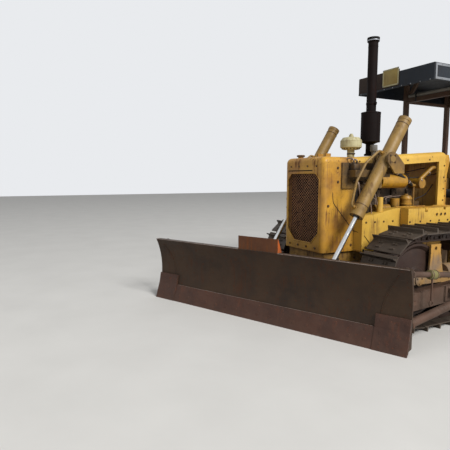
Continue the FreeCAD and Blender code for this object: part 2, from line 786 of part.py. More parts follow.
guard = guard_shell("GuardOuter", size(0), NOSE, NOSE + S.guard_depth)
hollow = guard_shell("GuardHollow", S.guard_wall, NOSE + S.guard_wall, NOSE + S.guard_depth + 1)


def octagon(grow):
    """The grille's opening, with its corners cut, grown by a margin."""
    half = S.grille_half + grow
    low = S.grille_low - grow
    high = S.grille_high + grow
    return (
        (S.grille_clip_low - half, low),
        (half - S.grille_clip_low, low),
        (half, low + S.grille_clip_low),
        (half, high - S.grille_clip_high),
        (half - S.grille_clip_high, high),
        (S.grille_clip_high - half, high),
        (-half, high - S.grille_clip_high),
        (-half, low + S.grille_clip_low),
    )


opening = prism("GuardOpening", "XZ", octagon(size(0)), NOSE - 1, NOSE + S.guard_wall + 1)
guard_cut = cut("GuardCut", guard, [hollow, opening])
# filler cap and two lifting lugs on the crown
crown_low = S.guard_top - 4
pieces = [
    guard_cut,
    rod("FillerNeck", "z", -250, NOSE + 150, crown_low, 34, 24),
    rod("FillerCap", "z", -250, NOSE + 150, crown_low + 24, 42, 22),
]
for index, across in enumerate((40, 175)):
    y = NOSE + 215
    lug_top = S.guard_top + 44
    pieces.append(block("Lug%d" % index, across - 9, across + 9, y - 38, y + 38, crown_low, lug_top))
node("radiator_guard", fuse("RadiatorGuard", pieces))


def mesh_sheet():
    """Expanded mesh: a sheet with rows of diamonds, every other row shifted by half."""
    front = float(NOSE + S.guard_wall)
    border = [vec(u, front, v) for u, v in octagon(S.mesh_lap)]
    holes = []
    wide = S.diamond_wide.number
    high = S.diamond_high.number
    half_u = (wide - S.diamond_bar.number * 1.3) / 2
    half_v = (high - S.diamond_bar.number) / 2
    half = S.grille_half.number
    low = S.grille_low.number
    top = S.grille_high.number
    middle = (low + top) / 2
    rows = int((top - low) / high) + 2
    columns = int(half / wide) + 2
    for row in range(-rows, rows + 1):
        shift = wide / 2 if row % 2 else 0.0
        for column in range(-columns, columns + 1):
            u = column * wide + shift
            v = middle + row * high / 2
            inside = abs(u) + half_u <= half and low + 2 <= v - half_v and v + half_v <= top - 2
            beside = half - abs(u) - half_u
            inside = inside and beside + (v - half_v - low) >= S.grille_clip_low.number * 0.8
            inside = inside and beside + (top - v - half_v) >= S.grille_clip_high.number * 0.8
            if inside:
                corners = [
                    Vector(u - half_u, front, v),
                    Vector(u, front, v - half_v),
                    Vector(u + half_u, front, v),
                    Vector(u, front, v + half_v),
                ]
                holes.append(Part.makePolygon(corners + corners[:1]))
    face = Part.makeFace([Part.makePolygon(border + border[:1])] + holes, "Part::FaceMakerBullseye")
    return face.extrude(Vector(0, S.mesh_thick.number, 0))


node("grille_mesh", shape("GrilleMesh", mesh_sheet()))

core_low = S.guard_bottom + S.guard_wall
core_face = NOSE + S.core_front
core_rear = core_face + S.core_thick
core = block("RadiatorCore", -S.core_half, S.core_half, core_face, core_rear, core_low, S.core_top)
node("radiator_core", core)

# Hood: sloping top sheet with side rails, and the posts at its rear corners

hood_front = NOSE + S.guard_depth


def hood_shell(name, inset, front, under):
    """The hood's side view inset by the sheet, rounded along its top edges and at its rear corner."""
    rear = HOOD_END - inset
    outline = (
        (front, S.guard_top - S.hood_lip - under),
        (rear, HOOD_HIGH - S.hood_lip - under),
        (rear, HOOD_HIGH - inset),
        (front, S.guard_top - inset),
    )
    half = S.guard_half - inset
    body = prism(name, "YZ", outline, -half, half)
    front_y = float(front)
    rear_y = rear.number
    low = S.guard_top.number - float(inset) - 1

    def top_edge(point):
        if point.z < low:
            return False
        along = abs(point.x) > half.number - 1 and front_y + 1 < point.y < rear_y - 1
        across = abs(point.x) < 1 and point.y > rear_y - 1
        return along or across

    return round_edges(body, name + "Edges", S.guard_crown - inset, top_edge)


hood_outer = hood_shell("HoodOuter", size(0), hood_front, size(0))
hood_inner = hood_shell("HoodInner", S.hood_sheet, hood_front - 1, size(1))
pieces = [cut("HoodShell", hood_outer, [hood_inner])]
for side, word in SIDES:
    x0, x1 = span(side, S.guard_half - 30, S.guard_half)
    post_front = HOOD_END - S.hood_post
    pieces.append(block("HoodPost" + word, x0, x1, post_front, HOOD_END, S.box_top, HOOD_HIGH - S.hood_lip))
node("hood", fuse("Hood", pieces))

# Instrument cowl behind the hood

cowl = (
    (HOOD_END, S.cowl_bottom),
    (HOOD_END + S.cowl_depth - 50, S.cowl_bottom),
    (HOOD_END + S.cowl_depth - 50, HOOD_HIGH - 300),
    (HOOD_END + S.cowl_depth, HOOD_HIGH - 110),
    (HOOD_END + S.cowl_depth - 30, HOOD_HIGH - 40),
    (HOOD_END, HOOD_HIGH - 40),
)
node("instrument_cowl", prism("InstrumentCowl", "YZ", cowl, -S.cowl_half, S.cowl_half))

# Engine: block, head and cover with the air and exhaust ducts to the hood, clutch housing and shaft tunnel

pieces = [
    block(
        "EngineBlock",
        -S.block_half,
        S.block_half,
        NOSE + S.engine_front,
        NOSE + S.engine_rear,
        S.block_low,
        S.head_low,
    ),
    block(
        "EngineHead",
        -S.head_half,
        S.head_half,
        NOSE + S.engine_front + 40,
        NOSE + S.engine_rear - 50,
        S.head_low,
        S.cover_low,
    ),
    block(
        "EngineCover",
        -S.cover_half,
        S.cover_half,
        NOSE + S.engine_front + 80,
        NOSE + S.engine_rear - 90,
        S.cover_low,
        S.cover_top,
    ),
    rod("EngineBell", "y", 0, NOSE + S.engine_rear, 1000, 245, 150),
    block("EngineTunnel", -200, 200, NOSE + S.engine_rear + 150, NOSE + S.case_front, S.block_low, 1080),
    rod("EngineShaft", "y", 0, NOSE + S.fan_back + 30, S.fan_high, 30, S.engine_front - S.fan_back - 30),
    rod("CrankPulley", "y", 0, NOSE + S.engine_front - 60, 860, 105, 60),
]
for name, back, radius in (("AirDuct", S.cleaner_back, 45), ("ExhaustDuct", S.muffler_back, 52)):
    duct_top = hood_at(back - radius) - S.hood_sheet - 0.3
    pieces.append(rod(name, "z", 0, NOSE + back, S.cover_top, radius, duct_top - S.cover_top))
for side, word in SIDES:
    x0, x1 = span(side, S.block_half, S.rail_half_out - 20)
    y = NOSE + 700
    pieces.append(block("EngineFoot" + word, x0, x1, y, y + 100, S.guard_bottom, S.guard_bottom + 50))
node("engine_block", fuse("Engine", pieces))

# Cooling fan on the engine's front shaft

hub = Part.makeCylinder(70, 60, vec(0, NOSE + S.fan_back - 30, S.fan_high), Vector(0, 1, 0))
blades = []
for index in range(int(S.fan_blades.number)):
    blade = Part.makeBox(90, 4, S.fan_radius.number - 55, Vector(-45, -2, 55))
    blade.rotate(Vector(), Vector(0, 0, 1), 28)
    blade.rotate(Vector(), Vector(0, 1, 0), index * 360 / S.fan_blades.number)
    blade.translate(vec(0, NOSE + S.fan_back, S.fan_high))
    blades.append(blade)
node("cooling_fan", shape("CoolingFan", hub.multiFuse(blades)))

# Fittings beside the engine: manifold drums, filters on a shelf, starter and pipes

DRUMS = (
    # name, side, axis, across, behind the nose, height, radius, length
    ("IntakeDrum", 1, "y", 262, 940, 1600, 86, 430),
    ("FuelPump", 1, "y", 268, 870, 1262, 52, 250),
    ("SmallFilter", 1, "z", 276, 1225, S.fitting_seat, 58, 150),
    ("SecondFilter", -1, "z", 276, 1400, S.fitting_seat, 58, 150),
    ("Dynamo", -1, "y", 288, 700, 1300, 70, 260),
    ("HotManifold", -1, "y", 235, 690, 1500, 50, 900),
    ("Starter", 1, "x", S.head_half, 1660, 1570, 64, 175),
    ("Fuse", 1, "z", 300, 1530, S.fitting_seat, 12, 290),
)
pieces = []
for name, side, axis, across, back, height, radius, length in DRUMS:
    x = span(side, across, across + size(length))[0] if axis == "x" else side * size(across)
    pieces.append(rod(name, axis, x, NOSE + back, height, radius, length))
seat_low = S.fitting_seat - 40
for side, word in SIDES:
    shelf = span(side, S.block_half, 335)
    pieces.append(block("FilterShelf" + word, *shelf, NOSE + 1130, NOSE + 1540, seat_low, S.fitting_seat))
arm = span(1, S.cover_half, 262)
pieces.append(block("IntakeArm", *arm, NOSE + 1000, NOSE + 1310, 1565, 1625))
pieces.append(block("PumpFoot", *span(1, S.block_half, 290), NOSE + 900, NOSE + 1100, 1180, 1240))
pieces.append(block("DynamoFoot", *span(-1, S.block_half, 300), NOSE + 740, NOSE + 920, 1220, 1260))
for index in range(4):
    y = NOSE + 760 + index * 230
    pieces.append(block("Runner%d" % index, *span(-1, S.head_half, 235), y, y + 90, 1465, 1535))
# main oil filter: a ribbed drum with a domed lid
profile = (
    (0, 0),
    (78, 0),
    (78, 14),
    (71, 20),
    (71, 62),
    (78, 68),
    (78, 80),
    (71, 86),
    (71, 128),
    (78, 134),
    (78, 150),
    (60, 180),
    (26, 190),
    (26, 204),
    (0, 204),
)
pieces.append(shape("OilFilter", revolve(profile, vec(296, NOSE + 1400, S.fitting_seat), "z")))
PIPES = (
    # radius, bend, then the runs' corners: across, behind the nose, height
    (20, 50, ((262, 1010, 1660), (318, 1060, 1775), (318, 1500, 1545), (240, 1640, 1545))),
    (25, 60, ((240, 1650, 1560), (305, 1545, 1560), (305, 1860, 1775), (305, HOOD_END - NOSE, 1775))),
)
for index, (radius, bend, corners) in enumerate(PIPES):
    points = [vec(across, NOSE + back, height) for across, back, height in corners]
    pieces.append(shape("EnginePipe%d" % index, pipe(points, radius, bend)))
node("engine_fittings", fuse("EngineFittings", pieces))

# Air precleaner on its neck

profile = (
    (0, S.cleaner_low),
    (S.cleaner_radius - 40, S.cleaner_low),
    (S.cleaner_radius, S.cleaner_low + 30),
    (S.cleaner_radius, S.cleaner_high - 50),
    (S.cleaner_radius - 30, S.cleaner_high - 12),
    (30, S.cleaner_high),
    (24, S.cleaner_high + 26),
    (0, S.cleaner_high + 26),
)
cleaner_y = NOSE + S.cleaner_back
bowl = revolve(profile, vec(0, cleaner_y, 0), "z")
neck_low = hood_at(S.cleaner_back + 45)
neck = Part.makeCylinder(45, float(S.cleaner_low - neck_low), vec(0, cleaner_y, neck_low), Vector(0, 0, 1))
node("air_precleaner", shape("AirPrecleaner", bowl.fuse(neck)))

# Exhaust: foot, muffler and stack with a flared end

muffler_y = NOSE + S.muffler_back
foot_low = hood_at(S.muffler_back + 70)
profile = (
    (0, foot_low),
    (70, foot_low),
    (70, foot_low + 20),
    (52, foot_low + 30),
    (52, S.muffler_low - 20),
    (S.muffler_radius - 20, S.muffler_low),
    (S.muffler_radius, S.muffler_low + 15),
    (S.muffler_radius, S.muffler_high - 15),
    (S.muffler_radius - 20, S.muffler_high),
    (S.stack_radius, S.muffler_high + 12),
    (S.stack_radius, S.stack_top - 60),
    (S.stack_radius + 14, S.stack_top - 45),
    (S.stack_radius + 14, S.stack_top),
    (S.stack_radius - 6, S.stack_top),
    (S.stack_radius - 6, S.stack_top - 120),
    (0, S.stack_top - 120),
)
node("exhaust", shape("Exhaust", revolve(profile, vec(0, muffler_y, 0), "z")))

# Lower side panels and side boxes beside the engine and the driver's feet

BOX_FRONT = NOSE + S.box_front
for side, word in SIDES:
    panel = (
        (NOSE + S.guard_depth, S.guard_bottom),
        (BOX_FRONT, S.guard_bottom),
        (BOX_FRONT, S.box_top),
        (BOX_FRONT - 90, S.box_top),
        (NOSE + 620, 1215),
        (NOSE + S.guard_depth, 1215),
    )
    x0, x1 = span(side, S.guard_half, S.panel_out)
    sheets = prism("SidePanel" + word, "YZ", panel, x0, x1)
    hollow = block(
        "PanelHollow" + word,
        *span(side, S.guard_half - 1, S.panel_out - S.guard_wall),
        NOSE + S.guard_depth + S.guard_wall,
        BOX_FRONT - S.guard_wall,
        S.guard_bottom - 1,
        1215 - S.guard_wall,
    )
    x0, x1 = span(side, S.guard_half + 12, S.box_out)
    boxes = [
        cut("PanelShell" + word, sheets, [hollow]),
        block("SideBox" + word + "0", x0, x1, BOX_FRONT, NOSE + 1700, S.box_low, S.box_top),
        block("SideBox" + word + "1", x0, x1, NOSE + 1740, NOSE + 2105, S.box_low, S.box_top),
        block("BoxStrap" + word, x0, x1, NOSE + 1700, NOSE + 1740, S.box_low, S.box_top - 30),
    ]
    boxes.append(rod("PanelFilter" + word, "z", side * size(445), NOSE + 790, 1200, 36, 215))
    node("side_boxes_" + word, fuse("SideBoxes" + word.title(), boxes))

# Steering case with the drawbar's bracket and the deck's stands

CASE_FRONT = NOSE + S.case_front
CASE_REAR = CASE_FRONT + S.case_long
case_box = block("CaseBox", -S.case_half, S.case_half, CASE_FRONT, CASE_REAR, S.case_low, S.case_top)
pieces = [case_box]
deck_low = S.deck_high - S.deck_plate
floor_low = S.floor_high - S.deck_plate
for side, word in SIDES:
    x0, x1 = span(side, 200, 260)
    pieces.append(block("Stand" + word, x0, x1, CASE_FRONT + 250, CASE_REAR - 20, S.case_top, deck_low))
    x0, x1 = span(side, 150, 210)
    stand = CASE_FRONT + 10
    pieces.append(block("FloorStand" + word, x0, x1, stand, stand + 140, S.case_top, floor_low))
node("steering_case", fuse("SteeringCase", pieces))

HITCH_Y = CASE_REAR + S.hitch_behind
hitch_top = S.hitch_low + S.hitch_thick
bar = block("BarBase", -60, 60, CASE_REAR, HITCH_Y + 60, S.hitch_low, hitch_top)
bracket = block("BarBracket", -110, 110, CASE_REAR, CASE_REAR + 60, S.hitch_low, hitch_top + 110)
hole = rod("BarHole", "z", 0, HITCH_Y, S.hitch_low - 10, S.hitch_radius, S.hitch_thick + 20)
node("drawbar", cut("Drawbar", fuse("BarSolid", [bar, bracket]), [hole]))

# Driver's floor, fenders and rear deck

fender_out = S.half_gauge + S.shoe_width / 2
inner = S.half_gauge - S.shoe_width / 2 - 10
floor_front = NOSE + S.floor_front
DECK_FRONT = NOSE + S.deck_front
deck_rear = CASE_REAR + S.deck_over
pieces = [
    block("Floor", -inner, inner, floor_front, DECK_FRONT, floor_low, S.floor_high),
    block("RearDeck", -fender_out, fender_out, DECK_FRONT, deck_rear, deck_low, S.deck_high),
    block("FloorRiser", -inner, inner, DECK_FRONT, DECK_FRONT + 10, floor_low, S.deck_high),
]
for side, word in SIDES:
    x0, x1 = span(side, inner - 10, inner)
    pieces.append(block("FenderRiser" + word, x0, x1, floor_front, DECK_FRONT, floor_low, S.deck_high))
    x0, x1 = span(side, inner - 10, fender_out)
    pieces.append(block("Fender" + word, x0, x1, floor_front, DECK_FRONT, deck_low, S.deck_high))
node("platform", fuse("Platform", pieces))

# Seat: base with arm boxes, cushion and backrest in front of the fuel tank

TANK_FRONT = DECK_FRONT + S.seat_room
cushion_low = S.seat_top - S.cushion_thick
box_in = S.seat_half + 20
pieces = [block("SeatBase", -box_in, box_in, DECK_FRONT + 40, TANK_FRONT - 130, S.deck_high, cushion_low)]
for side, word in SIDES:
    x0, x1 = span(side, box_in, box_in + S.arm_box)
    arm = (
        (DECK_FRONT + 60, S.deck_high),
        (TANK_FRONT, S.deck_high),
        (TANK_FRONT, S.seat_top + 170),
        (DECK_FRONT + 120, S.seat_top + 170),
        (DECK_FRONT + 60, S.seat_top + 110),
    )
    pieces.append(prism("SeatArm" + word, "YZ", arm, x0, x1))
node("seat_base", fuse("SeatBaseArms", pieces))
half = S.seat_half
pads = [
    block("SeatCushion", -half, half, DECK_FRONT + 10, TANK_FRONT - 140, cushion_low, S.seat_top),
    block("SeatBack", -half, half, TANK_FRONT - 110, TANK_FRONT, S.seat_top + 10, S.back_top),
]
node("seat_pads", group("SeatPads", pads))

# Fuel tank with rounded edges and its filler

TANK_REAR = TANK_FRONT + S.tank_depth
tank_outline = (
    (TANK_FRONT, S.deck_high),
    (TANK_REAR, S.deck_high),
    (TANK_REAR, S.tank_top),
    (TANK_FRONT, S.tank_top),
)
tank = prism("TankBody", "YZ", tank_outline, -S.tank_half, S.tank_half)


def tank_edge(point):
    """Every edge of the tank but those at its front and its foot."""
    return point.y > TANK_FRONT.number + 1 and point.z > S.deck_high.number + 1


round_edges(tank, "TankEdges", S.tank_round, tank_edge)
neck_y = TANK_FRONT + S.tank_depth / 2
pieces = [tank, rod("TankFiller", "z", 250, neck_y, S.tank_top - 5, 42, 45)]
node("fuel_tank", fuse("FuelTank", pieces))

# Steering and brake levers on the floor, with a pedal beside each pair

lever_y = DECK_FRONT - S.lever_ahead
pieces = [block("LeverBase", -260, 260, lever_y - 50, lever_y + 50, S.floor_high, S.floor_high + 60)]
for index, across in enumerate((-200, -70, 70, 200)):
    pieces.append(rod("Lever%d" % index, "z", across, lever_y, S.floor_high + 50, 11, 620))
    pieces.append(rod("Grip%d" % index, "z", across, lever_y, S.floor_high + 670, 19, 90))
pedals = []
for side, word in SIDES:
    x0, x1 = span(side, 290, 370)
    pedal = (
        (lever_y - 110, S.floor_high),
        (lever_y - 60, S.floor_high),
        (lever_y - 140, S.floor_high + 190),
        (lever_y - 190, S.floor_high + 190),
    )
    pedals.append(prism("Pedal" + word, "YZ", pedal, x0, x1))
node("control_levers", group("ControlLevers", [fuse("Levers", pieces)] + pedals))

# Canopy: four posts, cross beams with knees up to the roof, a side rail each side and the roof's shell

POSTS = (
    # letter, front face, what the post stands on
    ("F", NOSE + S.post_front, S.floor_high),
    ("R", TANK_FRONT - S.post_size - 10, S.deck_high),
)
roof_under = S.roof_top - S.roof_sheet
beam_top = S.beam_under + S.post_size
posts = []
for letter, y, low in POSTS:
    ends = S.post_across + S.post_size / 2
    posts.append(block("Beam" + letter, -ends, ends, y, y + S.post_size, S.beam_under, beam_top))
    for side, word in SIDES:
        x0, x1 = span(side, S.post_across - S.post_size / 2, ends)
        posts.append(block("Post" + word + letter, x0, x1, y, y + S.post_size, low, roof_under))
        knee = (
            (side * S.post_across, beam_top - 5),
            (side * (S.post_across - 55), beam_top - 5),
            (side * (S.post_across - 200), roof_under),
            (side * (S.post_across - 145), roof_under),
        )
        posts.append(prism("Knee" + word + letter, "XZ", knee, y + 10, y + S.post_size - 10))
for side, word in SIDES:
    x0, x1 = span(side, S.post_across - 20, S.post_across + 20)
    start = POSTS[0][1] + S.post_size - 1
    end = POSTS[1][1] + 1
    posts.append(block("Rail" + word + "Roof", x0, x1, start, end, S.beam_under, S.beam_under + 40))
node("canopy_posts", fuse("CanopyPosts", posts))
roof = block(
    "RoofOuter",
    -S.roof_half,
    S.roof_half,
    NOSE + S.roof_front,
    NOSE + S.roof_rear,
    S.roof_low,
    S.roof_top,
)
under = block(
    "RoofUnder",
    S.roof_sheet - S.roof_half,
    S.roof_half - S.roof_sheet,
    NOSE + S.roof_front + S.roof_sheet,
    NOSE + S.roof_rear - S.roof_sheet,
    S.roof_low - 1,
    roof_under,
)
node("canopy_roof", cut("CanopyRoof", roof, [under]))

# Bright frames on the roof's two sides
frames = []
for side, word in SIDES:
    x0, x1 = span(side, S.roof_half, S.roof_half + S.trim_thick)
    front = NOSE + S.roof_front + 20
    rear = NOSE + S.roof_rear - 20
    outer = block("TrimOuter" + word, x0, x1, front, rear, S.roof_low + 8, S.roof_top - 8)
    inner = block(
        "TrimInner" + word,
        x0 - 1,
        x1 + 1,
        front + S.trim_width,
        rear - S.trim_width,
        S.roof_low + 8 + S.trim_width,
        S.roof_top - 8 - S.trim_width,
    )
    frames.append(cut("Trim" + word, outer, [inner]))
node("roof_frames", group("RoofFrames", frames))

# Lift cylinders: bracket on the nose, trunnioned barrel, rod with its eye

TRUNNION_Y = NOSE + S.trunnion_back
EYE_Y = NOSE - S.lift_eye_ahead
rise = S.trunnion_high.number - S.lift_eye_high.number
run = S.trunnion_back.number + S.lift_eye_ahead.number
lean = math.degrees(math.atan2(run, rise))
reach = math.hypot(rise, run)
print("lift cylinder leans %.3f deg, eye to trunnion %.2f mm" % (lean, reach))

for side, word in SIDES:
    across = side * S.lift_across
    name = "LiftBracket" + word.title()
    plate = S.ear_plate
    gap_half = S.barrel_radius + 18
    pieces = []
    plate_outline = (
        (TRUNNION_Y - 70, S.trunnion_high - 30),
        (TRUNNION_Y + 40, S.trunnion_high - 160),
        (TRUNNION_Y + 190, S.trunnion_high - 160),
        (TRUNNION_Y + 190, S.trunnion_high - 60),
        (TRUNNION_Y + 60, S.trunnion_high + 60),
        (TRUNNION_Y - 50, S.trunnion_high + 60),
    )
    for offset, tag in ((-1, "A"), (1, "B")):
        near = across + offset * gap_half
        far = across + offset * (gap_half + plate)
        ends = (near, far) if offset > 0 else (far, near)
        plate_flat = prism(name + "Flat" + tag, "YZ", plate_outline, *ends)
        boss_radius = S.trunnion_radius + 40
        boss = rod(name + "Boss" + tag, "x", ends[0], TRUNNION_Y, S.trunnion_high, boss_radius, plate)
        plate_solid = fuse(name + "Plate" + tag, [plate_flat, boss])
        bore = rod(
            name + "Bore" + tag,
            "x",
            ends[0] - 1,
            TRUNNION_Y,
            S.trunnion_high,
            S.trunnion_radius + S.pin_play,
            plate + 2,
        )
        pieces.append(cut(name + "Drilled" + tag, plate_solid, [bore]))
    x0, x1 = span(side, S.guard_half, S.lift_across + gap_half + plate)
    rear_y = TRUNNION_Y + 190
    low = S.trunnion_high - 160
    pieces.append(block(name + "Bridge", x0, x1, rear_y - 60, rear_y, low, low + 70))
    x0, x1 = span(side, S.guard_half, S.lift_across - gap_half)
    arm_low = S.trunnion_high - 200
    pieces.append(block(name + "Arm", x0, x1, NOSE + 330, rear_y, arm_low, arm_low + 80))
    x0, x1 = span(side, S.guard_half, S.guard_half + 20)
    root_low = S.trunnion_high - 330
    pieces.append(block(name + "Root", x0, x1, NOSE + 250, rear_y, root_low, root_low + 290))
    node("lift_bracket_" + word, fuse(name, pieces))

    turn = Placement(vec(across, TRUNNION_Y, S.trunnion_high), Rotation(Vector(1, 0, 0), -lean))
    radius = S.barrel_radius.number
    bore = S.barrel_bore.number
    below = S.barrel_below.number
    above = S.barrel_above.number
    profile = (
        (S.rod_radius.number + S.pin_play.number, -below),
        (radius + 6, -below),
        (radius + 6, 70 - below),
        (radius, 75 - below),
        (radius, above - 40),
        (radius + 4, above - 36),
        (radius + 4, above),
        (0, above),
        (0, above - 30),
        (bore, above - 30),
        (bore, 60 - below),
        (S.rod_radius.number + S.pin_play.number, 60 - below),
    )
    points = [Vector(r, 0, along) for r, along in profile]
    barrel = Part.Face(Part.makePolygon(points + points[:1])).revolve(Vector(), Vector(0, 0, 1), 360)
    extras = []
    for direction in (-1, 1):
        start = Vector(direction * (bore + 4), 0, 0)
        length = S.barrel_radius.number + 18 + S.ear_plate.number + 4 - bore - 4
        extras.append(Part.makeCylinder(S.trunnion_radius.number, length, start, Vector(direction, 0, 0)))
        length = radius + 10 - bore - 4
        collar = S.trunnion_radius.number + 16
        extras.append(Part.makeCylinder(collar, length, start, Vector(direction, 0, 0)))
    # steel line from the lower port, bowed clear of the barrel, to a block over the trunnion
    line = (
        # forward of the barrel's axis, along it from the trunnion
        (bore + 6, -below + 70),
        (132, -below + 70),
        (215, -430),
        (215, -190),
        (130, 30),
        (bore + 6, 30),
    )
    extras.append(pipe([Vector(0, -ahead, along) for ahead, along in line], 13, 32))
    barrel = barrel.multiFuse(extras)
    barrel.Placement = turn
    node("lift_barrel_" + word, shape("LiftBarrel" + word.title(), barrel))

    top = S.rod_inside.number - below
    eye = -reach
    rod_solid = Part.makeCylinder(S.rod_radius.number, top - eye, Vector(0, 0, eye), Vector(0, 0, 1))
    piston = Part.makeCylinder(bore - 0.5, 50, Vector(0, 0, top - 25), Vector(0, 0, 1))
    half = S.rod_eye_half.number
    ring = Part.makeCylinder(S.rod_eye_radius.number, 2 * half, Vector(-half, 0, eye), Vector(1, 0, 0))
    neck = Part.makeCylinder(S.rod_radius.number + 3, 50, Vector(0, 0, eye + 40), Vector(0, 0, 1))
    made = rod_solid.multiFuse([piston, ring, neck])
    made.Placement = turn
    node("lift_rod_" + word, shape("LiftRod" + word.title(), made))

# Push frame: straight arms outside the tracks, a beam to a point ahead of the nose, lugs for the struts

SLOPE = tangent(S.blade_angle)
TRACK_OUT = S.half_gauge + S.shoe_width / 2


def beam_y(x, forward):
    """The beam's rear side at x from the middle, or its front side."""
    rear = NOSE + S.corner_back - SLOPE * (TRACK_OUT - x)
    return rear - S.beam_depth if forward else rear


def arm_middle(back):
    """Height of the push arm's middle at a distance behind the nose."""
    part = (back - S.corner_back) / (S.pivot_back - S.corner_back)
    middle = (S.beam_low + S.beam_high) / 2
    return middle + part * (S.pivot_high - middle)


ARM_OUT = S.arm_inner + S.arm_width
LUG_RISE = 20
pieces = []
beam = (
    (0, beam_y(0, True)),
    (ARM_OUT - 40, beam_y(ARM_OUT - 40, True)),
    (ARM_OUT, beam_y(ARM_OUT, True) + 40),
    (ARM_OUT, NOSE + S.corner_back + 60),
    (S.arm_inner, NOSE + S.corner_back + 60),
    (S.arm_inner, beam_y(S.arm_inner, False)),
    (0, beam_y(0, False)),
)
for side, word in SIDES:
    outline = [(side * size(u), v) for u, v in beam]
    pieces.append(prism("Beam" + word.title(), "XY", outline, S.beam_low, S.beam_high))
    x0, x1 = span(side, S.arm_inner, ARM_OUT)
    arm = (
        (NOSE + S.corner_back, S.beam_low),
        (PIVOT_Y, S.pivot_high - S.arm_half),
        (PIVOT_Y, S.pivot_high + S.arm_half),
        (NOSE + S.corner_back, S.beam_high),
    )
    solid = prism("Arm" + word.title(), "YZ", arm, x0, x1)
    eye = rod("ArmEye" + word, "x", x0, PIVOT_Y, S.pivot_high, S.eye_radius, S.arm_width)
    bore_radius = S.pivot_radius + S.pin_play
    bore = rod("ArmBore" + word, "x", x0 - 1, PIVOT_Y, S.pivot_high, bore_radius, S.arm_width + 2)
    pieces.append(cut("ArmDrilled" + word, fuse("ArmSolid" + word, [solid, eye]), [bore]))
    # strut lugs: a back plate with three ears at each of three places
    for back, tag in ((S.lug_rear, "R"), (S.lug_middle, "M"), (S.lug_front, "F")):
        middle = arm_middle(back)
        y = NOSE + back
        x0, x1 = span(side, ARM_OUT, ARM_OUT + 16)
        pieces.append(block("LugPlate" + word + tag, x0, x1, y - 80, y + 80, middle - 75, middle + 85))
        x0, x1 = span(side, ARM_OUT, ARM_OUT + S.lug_out + 40)
        low = middle + LUG_RISE
        ear = block("LugEar" + word + tag, x0, x1, y - 40, y + 40, low, low + S.lug_thick)
        pin_x = side * (ARM_OUT + S.lug_out)
        hole = rod("LugHole" + word + tag, "z", pin_x, y, low - 10, S.strut_pin + 0.3, S.lug_thick + 20)
        pieces.append(cut("LugDrilled" + word + tag, ear, [hole]))
    # ears beside the lift rod's eye
    across = side * S.lift_across
    for offset, tag in ((-1, "A"), (1, "B")):
        near = across + offset * (S.rod_eye_half + S.side_gap)
        far = across + offset * (S.rod_eye_half + S.side_gap + S.ear_plate)
        ends = (near, far) if offset > 0 else (far, near)
        base = beam_y(S.lift_across, False)
        outline = (
            (base - S.beam_depth, S.beam_high - 20),
            (base, S.beam_high - 20),
            (EYE_Y + 55, S.lift_eye_high),
            (EYE_Y + 30, S.lift_eye_high + 55),
            (EYE_Y - 30, S.lift_eye_high + 55),
            (EYE_Y - 55, S.lift_eye_high),
        )
        pieces.append(prism("LiftEar" + word + tag, "YZ", outline, *ends))
pin_y = beam_y(0, False) - 50
pieces.append(rod("CentrePin", "z", 0, pin_y, S.beam_low - 60, 40, S.beam_high - S.beam_low + 120))
node("push_frame", fuse("PushFrame", pieces))

# Blade, built along its own length and then angled: u along it, n back from its chord

HOLLOW_R = (S.blade_high.number / 2) ** 2 / (2 * S.blade_hollow.number) + S.blade_hollow.number / 2
BLADE = Placement(
    vec(0, NOSE - S.blade_ahead, 0),
    Rotation(Vector(0, 0, 1), S.blade_angle.number),
)
HALF = (ARM_OUT + S.blade_over).number
HIGH = S.blade_high.number
HOLLOW = S.blade_hollow.number
SKIN = S.blade_sheet.number


def face_at(z):
    """How far back the blade's hollow front lies at a height."""
    return HOLLOW - HOLLOW_R + math.sqrt(HOLLOW_R ** 2 - (z - HIGH / 2) ** 2)


def along_blade(wire_points, start, end):
    """A closed outline of (n, z) corners drawn out along the blade."""
    points = [Vector(start, n, z) for n, z in wire_points]
    face = Part.Face(Part.makePolygon(points + points[:1]))
    return face.extrude(Vector(end - start, 0, 0))


def blade_box(u0, u1, n0, n1, z0, z1):
    return Part.makeBox(u1 - u0, n1 - n0, z1 - z0, Vector(u0, n0, z0))


def on_blade(solid):
    solid.Placement = BLADE
    return solid


def backed(start, end, low, high, back_points):
    """A solid between the sheet's hollow back and a few (n, z) corners, drawn out along the blade."""
    heights = (low, (low + high) / 2, high)
    points = [Vector(start, face_at(z) + SKIN - 2, z) for z in heights]
    edges = [Part.Arc(*points).toShape()]
    corners = [points[2]] + [Vector(start, n, z) for n, z in back_points] + [points[0]]
    for first, second in zip(corners, corners[1:]):
        edges.append(Part.LineSegment(first, second).toShape())
    return Part.Face(Part.Wire(edges)).extrude(Vector(end - start, 0, 0))


low_z = 16.0
front = Part.Arc(
    Vector(-HALF, face_at(low_z), low_z),
    Vector(-HALF, face_at(HIGH / 2), HIGH / 2),
    Vector(-HALF, face_at(HIGH), HIGH),
)
back = Part.Arc(
    Vector(-HALF, face_at(HIGH) + SKIN, HIGH),
    Vector(-HALF, face_at(HIGH / 2) + SKIN, HIGH / 2),
    Vector(-HALF, face_at(low_z) + SKIN, low_z),
)
edges = [
    front.toShape(),
    Part.LineSegment(front.EndPoint, back.StartPoint).toShape(),
    back.toShape(),
    Part.LineSegment(back.EndPoint, front.StartPoint).toShape(),
]
skin = Part.Face(Part.Wire(edges)).extrude(Vector(2 * HALF, 0, 0))
top_back = face_at(HIGH) + SKIN + 60
stiff = [
    # top channel and bottom box along the whole back
    backed(-HALF, HALF, HIGH - 70, HIGH, ((top_back, HIGH), (top_back, HIGH - 70))),
    backed(-HALF, HALF, 40, 200, ((120, 200), (120, 40))),
]
